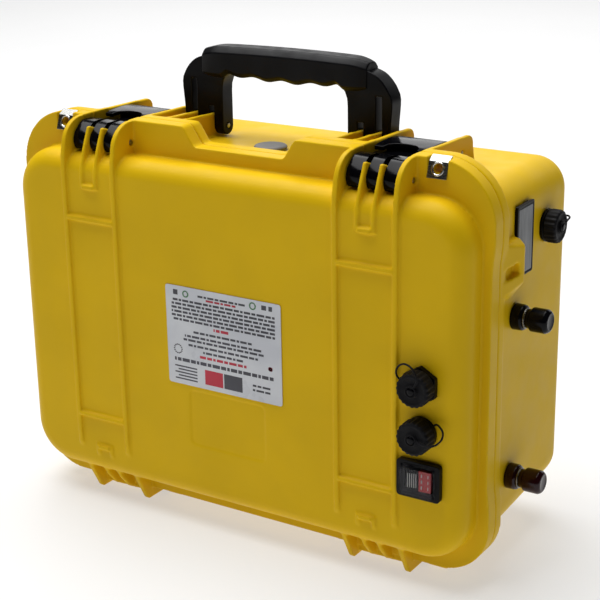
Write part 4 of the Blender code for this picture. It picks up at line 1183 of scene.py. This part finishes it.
def make_sockets(looks):
    """Caps, round-flanged sockets and tethers."""
    (x, z), face = make_cap("charge_cap", "Y", -1, looks)
    make_tether("charge_cap_tether", "lid", "charge_cap_rivet",
                moved(CHARGE_TETHER, x, face, z), looks)
    (x, z), face = make_cap("output_cap", "Y", -1, looks)
    make_tether("output_cap_tether", "lid", "output_cap_rivet",
                moved(OUTPUT_TETHER, x, face, z), looks)
    round_socket("output_socket", "lid", "Y", (x, z), -LID_DEPTH, -1, SOCKET_FLANGE,
                 SOCKET_MOUTH, looks)
    (y, z), face = make_cap("side_cap", "X", 1, looks)
    make_tether("side_cap_tether", "base", "side_cap_rivet",
                moved(SIDE_TETHER, face, y, z), looks, SIDE_RIGID_FROM)
    seat = body_half(y - 14.0) + 0.1
    round_socket("side_socket", "base", "X", (y, z), seat, 1, SIDE_FLANGE,
                 SIDE_MOUTH, looks)


def round_socket(name, body, axis, centre, seat, way, thick, barrel, looks):
    """A bulkhead socket with a round flange and an open barrel."""
    front = seat + way * (GAP + thick)
    profile = [(seat + way * GAP, ROUND_FLANGE)]
    profile += stepped(front, way, FLANGE_EDGE, ROUND_FLANGE)
    socket = turned(axis, centre, profile, 72)
    socket = joined(socket,
                    rod(axis, centre, SOCKET_BARREL, front - way,
                        front + way * barrel, 64),
                    rod(axis, centre, SOCKET_HOLE - 0.5, front - way,
                        seat - way * SOCKET_REACH, 64))
    socket = cut(socket, rod(axis, centre, SOCKET_BORE, front - way * 8.0,
                             front + way * 9.0, 48))
    bevelled(socket, 0.4, 2)
    dressed(socket, name + "_skin", body, looks["black"], name, slot="black_plastic")


def tipped(points, angle, pivot):
    """Turn points about the origin by an angle in degrees and move them to a pivot."""
    cosine = math.cos(math.radians(angle))
    sine = math.sin(math.radians(angle))
    return [(pivot[0] + x * cosine - y * sine, pivot[1] + x * sine + y * cosine)
            for x, y in points]


def make_rocker(looks):
    """The rocker's dark ribbed half, its ribs coloured white as painted highlights, and its red half with light marks.
    """
    x, _, z = middle_of("switch_body")
    face = box_of("switch_body")[1][0]
    pivot = (x, face + ROCKER_PIVOT)

    def bar(points, low, high):
        return prism("Z", tipped(points, ROCKER_TILT, pivot), low, high)

    dark = bar(DARK_HALF, z - ROCKER_HALF, z + ROCKER_HALF)
    # Painted highlights: the black half's ribs are coloured white where light catches them.
    ribs = []
    for index in range(5):
        left = -8.0 + index * 1.55
        ribs.append(bar(rectangle(left, left + 0.45, -6.15, -5.2), z - 5.2, z + 5.2))
    bevelled(dark, 0.15, 2)
    dressed(dark, "rocker_dark_half", "rocker", looks["gloss"], "rocker",
            slot="black_plastic")
    dressed(merged(ribs), "rocker_rib_highlights", "rocker", looks["white"],
            slot="black_plastic")
    red = bar(RED_HALF, z - ROCKER_HALF, z + ROCKER_HALF)
    bevelled(red, 0.3, 2)
    dressed(red, "rocker_red_half", "rocker", looks["rocker_red"], slot="rocker_red")
    marks = []
    for low in (-5.6, -1.2, 3.2):
        marks.append(bar(rectangle(2.0, 2.7, -5.95, -5.3), z + low, z + low + 2.4))
        marks.append(bar(rectangle(6.8, 7.4, -6.0, -5.5), z + low, z + low + 2.4))
    dressed(merged(marks), "rocker_marks", "rocker", looks["white"],
            slot="rocker_red")


def make_terminals(looks):
    """Collars, washers and knobs of the two screw terminals."""
    for word, surface, slot in (("negative", "gloss", "black_gloss"),
                                ("positive", "red_knob", "dark_red")):
        washer = box_of(word + "_washer")
        centre = (sum(washer[1]) / 2, sum(washer[2]) / 2)
        end = washer[0][0] - GAP
        seat = end - COLLAR_LENGTH
        profile = [(seat - 8.0, COLLAR_NECK), (seat, COLLAR_NECK)]
        profile += stepped(seat, 1, COLLAR_BACK, COLLAR_RADIUS)
        profile += stepped(end, 1, COLLAR_FACE, COLLAR_RADIUS)
        collar = turned("X", centre, profile, 72)
        collar = cut(collar, rod("X", centre, STUD_RADIUS + 0.4, seat - 9.0, end + 1.0))
        dressed(collar, word + "_collar_skin", "base", looks[surface],
                word + "_collar", slot=slot)
        profile = stepped(washer[0][0], 1, WASHER_EDGE, WASHER_RADIUS)
        profile += reversed(stepped(washer[0][1], -1, WASHER_EDGE, WASHER_RADIUS))
        disc = turned("X", centre, profile, 72)
        disc = cut(disc, rod("X", centre, STUD_RADIUS + 0.5, end - 1.0, end + 3.0))
        dressed(disc, word + "_washer_skin", word + "_washer", looks["steel"],
                word + "_washer", slot="stainless")
        make_knob(word, centre, surface, slot, end, looks)


def make_knob(word, centre, surface, slot, end, looks):
    """A terminal's knob: narrow neck, rounded rim and dished face."""
    low, high = box_of(word + "_knob")[0]
    profile = stepped(low, 1, KNOB_NECK, WASHER_RADIUS)
    profile += stepped(low, 1, KNOB_BACK, KNOB_RADIUS)
    profile += stepped(high, 1, KNOB_FACE, KNOB_RADIUS) + [(high - 0.6, 1.0)]
    knob = turned("X", centre, profile, 72)
    knob = cut(knob, rod("X", centre, STUD_RADIUS + 0.5, low - 1.0, end + 12.0))
    dressed(knob, word + "_knob_skin", word + "_knob", looks[surface],
            word + "_knob", slot=slot)


def make_plate_rims(looks):
    """Rolled rims round the padlock holes, in a lighter copy of the steel that paints their highlight."""
    for side, word in ((-1, "left"), (1, "right")):
        rim = ring_piece("Y", (side * EYELET[0], EYELET[1]), -11.35, EYELET_HOLE + 0.7,
                         RIM_WIRE)
        for vertex in rim.data.vertices:
            rise = vertex.co.z / MM - EYELET[1]
            vertex.co.y += rise * 0.36 * MM
        # Painted highlight: the rim takes the lighter copy of the steel.
        dressed(rim, "padlock_rim_" + word, "lid", looks["bright"], slot="stainless")


# ---------------------------------------------------------------- handle

def handle_outline():
    """Front view of the frame: legs, shoulders and the bar through the grip."""
    half = [(HANDLE_INSIDE, 287.0), (89.8, 287.0), (90.6, 309.0), (91.9, 324.0),
            (91.9, 328.0), (90.9, 332.0), (87.6, 337.8), (84.6, 341.6),
            (81.2, 344.7), (78.4, 346.5), (75.0, 347.9), (70.0, 349.4), (60.0, 350.0)]
    inner = [(40.0, 341.0), (46.0, 338.8), (50.2, 336.2), (53.2, 332.0),
             (54.6, 327.5), (HANDLE_INSIDE, 322.0)]
    return (half + [(-x, z) for x, z in reversed(half)]
            + [(-x, z) for x, z in reversed(inner)] + inner)


def make_handle_frame(looks):
    """Front view crossed with the side view, then slots for the lugs and pin bores."""
    y, z = UPPER_AXIS
    front = prism("Y", handle_outline(), y - 8.0, y + 8.0)
    side = arc((y, z), LEG_DEPTH / 2, 180, 360, 24)
    side += [(y + 7.0, 326.0), (y + 7.8, 336.0), (y + 7.8, 352.0),
             (y - 7.8, 352.0), (y - 7.8, 336.0), (y - 7.0, 326.0)]
    frame_bar = combine(front, [prism("X", side, -100.0, 100.0)], "INTERSECT")
    for way in (-1, 1):
        for lug, top in zip(HANDLE_LUGS, FORK_TOPS):
            slot = sorted((way * (lug[0] - 0.5), way * (lug[1] + 0.5)))
            frame_bar = cut(frame_bar, block(slot, (40.0, 75.0), (280.0, top)))
        bore = rod("X", UPPER_AXIS, PIN_HOLE, way * (HANDLE_INSIDE - 1.0),
                   way * (HANDLE_HALF + 1.0), PIN_SIDES)
        frame_bar = cut(frame_bar, bore)
    bevelled(frame_bar, 0.9, 3, 28.0)
    dressed(frame_bar, "handle_frame_skin", "handle", looks["black"], "handle_frame",
            slot="black_plastic")


def grip_section(x):
    """Low, high and half depth of the grip at a distance from its middle."""
    reach = abs(x)
    high = GRIP_HIGH - 0.00028 * reach ** 2
    if reach > 56.0:
        high -= 0.010 * (reach - 56.0) ** 2
    low = (GRIP_LOW + 1.0 * math.cos(2.0 * math.pi * x / FINGER_PITCH)
           + 1.9 * (reach / GRIP_STRAIGHT) ** 2)
    if reach > GRIP_STRAIGHT:
        share = min(1.0, (reach - GRIP_STRAIGHT) / 8.0)
        low += (GRIP_END_LOW - low) * share * share * (3.0 - 2.0 * share)
    depth = GRIP_DEPTH / 2
    if reach > GRIP_TAPER:
        depth -= 3.4 * ((reach - GRIP_TAPER) / (GRIP_HALF - GRIP_TAPER)) ** 2
    return low, high, depth


def make_grip(looks):
    """Soft grip: chamfered long edges, finger waves below, ends drawn in."""
    y = UPPER_AXIS[0]
    sections = []
    for step in range(GRIP_STEPS + 1):
        x = -GRIP_HALF + 2.0 * GRIP_HALF * step / GRIP_STEPS
        low, high, depth = grip_section(x)
        ring = [(y - depth + 3.4, low), (y + depth - 3.4, low), (y + depth, low + 3.4),
                (y + depth, high - 4.4), (y + depth - 3.0, high - 1.2),
                (y + depth - 5.2, high), (y - depth + 5.2, high),
                (y - depth + 3.0, high - 1.2), (y - depth, high - 4.4),
                (y - depth, low + 3.4)]
        sections.append((x, ring))
    grip = loft("X", sections)
    bevelled(grip, 0.8, 3, 24.0)
    dressed(grip, "handle_grip_skin", "handle", looks["grip"], "handle_grip",
            slot="black_rubber")


# ---------------------------------------------------------------- label print

# Centred lines of the label: (middle, left, right), as fractions of the label.
PRINT_CENTRED = ((0.37, 0.33, 0.68), (0.42, 0.20, 0.81), (0.47, 0.15, 0.86),
                 (0.51, 0.17, 0.84), (0.56, 0.25, 0.76))


def print_block(left, right, top, bottom):
    """A printed patch, placed by fractions of the label as it reads upright."""
    (low_x, high_x), (face, _), (low_z, high_z) = box_of("rating_label")
    width = high_x - low_x
    height = high_z - low_z
    return block((high_x - right * width, high_x - left * width),
                 (face - 0.05, face + 0.02),
                 (low_z + top * height, low_z + bottom * height))


def print_words(middle, left, right, tall, start):
    """A row of word-like dashes; start picks where the run of lengths begins."""
    dashes = []
    spot = left
    count = start
    while spot < right - 0.01:
        stop = min(right, spot + 0.022 + 0.011 * (count * 7 % 5))
        dashes.append(print_block(spot, stop, middle - tall / 2, middle + tall / 2))
        spot = stop + 0.010
        count += 1
    return dashes


def print_ring(x, y, radius, band):
    """A round mark made of short patches round a circle."""
    patches = []
    for step in range(14):
        angle = 2.0 * math.pi * step / 14
        across = x + radius * math.cos(angle)
        down = y + radius * math.sin(angle) * 1.31
        patches.append(print_block(across - band, across + band, down - band, down + band))
    return patches


def make_print(looks):
    """Generic marks in place of the label's print."""
    dark = print_words(0.105, 0.10, 0.25, 0.020, 1)
    dark += print_words(0.150, 0.10, 0.25, 0.020, 2)
    dark.append(print_block(0.34, 0.50, 0.05, 0.20))
    dark += print_words(0.255, 0.07, 0.94, 0.034, 3)
    for row in range(5):
        top = 0.05 + row * 0.032
        dark.append(print_block(0.74, 0.94 - 0.03 * (row % 2), top, top + 0.014))
    for start, (middle, left, right) in enumerate(PRINT_CENTRED, 4):
        dark += print_words(middle, left, right, 0.022, start)
    for row in range(6):
        dark += print_words(0.665 + row * 0.039, 0.05, 0.95, 0.022, row)
    dark += print_words(0.93, 0.30, 0.73, 0.020, 4)
    for left, right, top, bottom in ((0.07, 0.10, 0.92, 0.965),
                                     (0.12, 0.16, 0.92, 0.965),
                                     (0.89, 0.93, 0.91, 0.96)):
        dark.append(print_block(left, right, top, bottom))
    dark += print_ring(0.905, 0.36, 0.034, 0.006)
    dressed(merged(dark), "label_print_dark", "lid", looks["ink"], slot="label")
    red = [print_block(0.51, 0.67, 0.05, 0.20)]
    red += print_words(0.32, 0.30, 0.71, 0.026, 5)
    red += print_words(0.62, 0.45, 0.58, 0.028, 2)
    red += print_words(0.90, 0.38, 0.64, 0.020, 3)
    red += print_ring(0.095, 0.35, 0.010, 0.008)
    dressed(merged(red), "label_print_red", "lid", looks["ink_red"], slot="label")
    green = print_ring(0.235, 0.94, 0.024, 0.006) + print_ring(0.82, 0.93, 0.022, 0.006)
    dressed(merged(green), "label_print_green", "lid", looks["ink_green"], slot="label")


# ---------------------------------------------------------------- inside

def make_board_parts(looks):
    """Switching transistors, chips and capacitors on the protection board."""
    top = box_of("protection_board")[2][1]
    parts = []
    for index in range(5):
        left = 18.0 + index * 9.0
        for depth in ((40.0, 49.0), (84.0, 93.0)):
            parts.append(block((left, left + 6.5), depth, (top, top + 2.4)))
    parts.append(block((24.0, 38.0), (60.0, 74.0), (top, top + 1.6)))
    for x in (48.0, 60.0):
        parts.append(turned("Z", (x, 66.0), [(top, 4.6), (top + 8.5, 4.6),
                                             (top + 9.5, 4.0)], 32))
    pack = merged(parts)
    bevelled(pack, 0.2, 2)
    dressed(pack, "board_components", "base", looks["black"], slot="black_plastic")


# ---------------------------------------------------------------- stage

def make_camera():
    """The fitted camera: from its azimuth, elevation and roll to a matrix."""
    azimuth = math.radians(CAMERA_AZIMUTH)
    elevation = math.radians(CAMERA_ELEVATION)
    roll = math.radians(CAMERA_ROLL)
    back = Vector((math.sin(azimuth) * math.cos(elevation),
                   -math.cos(azimuth) * math.cos(elevation), math.sin(elevation)))
    level = (-back).cross(Vector((0.0, 0.0, 1.0))).normalized()
    upward = level.cross(-back)
    right = level * math.cos(roll) + upward * math.sin(roll)
    top = upward * math.cos(roll) - level * math.sin(roll)
    camera = bpy.data.objects.new("camera", bpy.data.cameras.new("camera"))
    camera.data.lens = CAMERA_LENS
    camera.data.clip_start = 0.05
    camera.data.clip_end = 60.0
    turn = Matrix((right, top, back)).transposed().to_4x4()
    spot = Vector((CENTRE_X + CAMERA_AT[0] * MM, SEAM_Y + CAMERA_AT[1] * MM,
                   CAMERA_AT[2] * MM))
    camera.matrix_world = Matrix.Translation(spot) @ turn
    bpy.context.scene.collection.objects.link(camera)
    bpy.context.scene.camera = camera


def make_light(name, spot, target, size, power):
    """A white rectangular light at a spot, aimed at a target, in metres and watts."""
    data = bpy.data.lights.new(name, "AREA")
    data.shape = "RECTANGLE"
    data.size, data.size_y = size
    data.energy = power
    light = bpy.data.objects.new(name, data)
    aim = Vector(target) - Vector(spot)
    light.rotation_euler = aim.to_track_quat("-Z", "Y").to_euler()
    light.location = spot
    bpy.context.scene.collection.objects.link(light)


def make_floor():
    """A wide mid-grey sheet that glows a little, so that it renders white."""
    bm = bmesh.new()
    bmesh.ops.create_grid(bm, x_segments=2, y_segments=2, size=8.0)
    floor = solid_from(bm)
    floor.name = "floor"
    surface = Surface("floor_paper", (0.45, 0.45, 0.45), 0.7)
    surface.vary_colour(surface.noise(3.0), (0.445, 0.445, 0.445), (0.455, 0.455, 0.455))
    surface.shader.inputs["Emission Color"].default_value = (1.0, 1.0, 1.0, 1.0)
    surface.shader.inputs["Emission Strength"].default_value = FLOOR_GLOW
    floor.data.materials.append(surface.material)
    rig.stage(floor)


def make_stage():
    """White floor, a dim white world, a large soft light above and one behind."""
    make_floor()
    world = bpy.data.worlds.new("studio")
    world.use_nodes = True
    background = world.node_tree.nodes["Background"]
    background.inputs["Color"].default_value = (1, 1, 1, 1)
    background.inputs["Strength"].default_value = WORLD_STRENGTH
    bpy.context.scene.world = world
    bpy.context.scene.view_settings.view_transform = "Standard"
    make_light("top_softbox", (-0.9, 0.25, 3.0), (-0.5, 0.15, 0.0), (3.0, 3.0), TOP_POWER)
    make_light("back_panel", (-0.8, 3.2, 1.3), (-0.1, 0.0, 0.35), (4.0, 1.5), BACK_POWER)


# ---------------------------------------------------------------- assembly

def main():
    looks = make_materials()
    make_camera()
    make_stage()
    make_lid_skin(looks)
    make_base_skin(looks)
    keep_fittings(looks)
    make_sockets(looks)
    make_rocker(looks)
    make_terminals(looks)
    make_plate_rims(looks)
    make_handle_frame(looks)
    make_grip(looks)
    make_print(looks)
    make_board_parts(looks)
    with open("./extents.json", "w") as report:
        json.dump({"cad": CAD_BOX, "visual": [list(c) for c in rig.bounds()]}, report)


main()
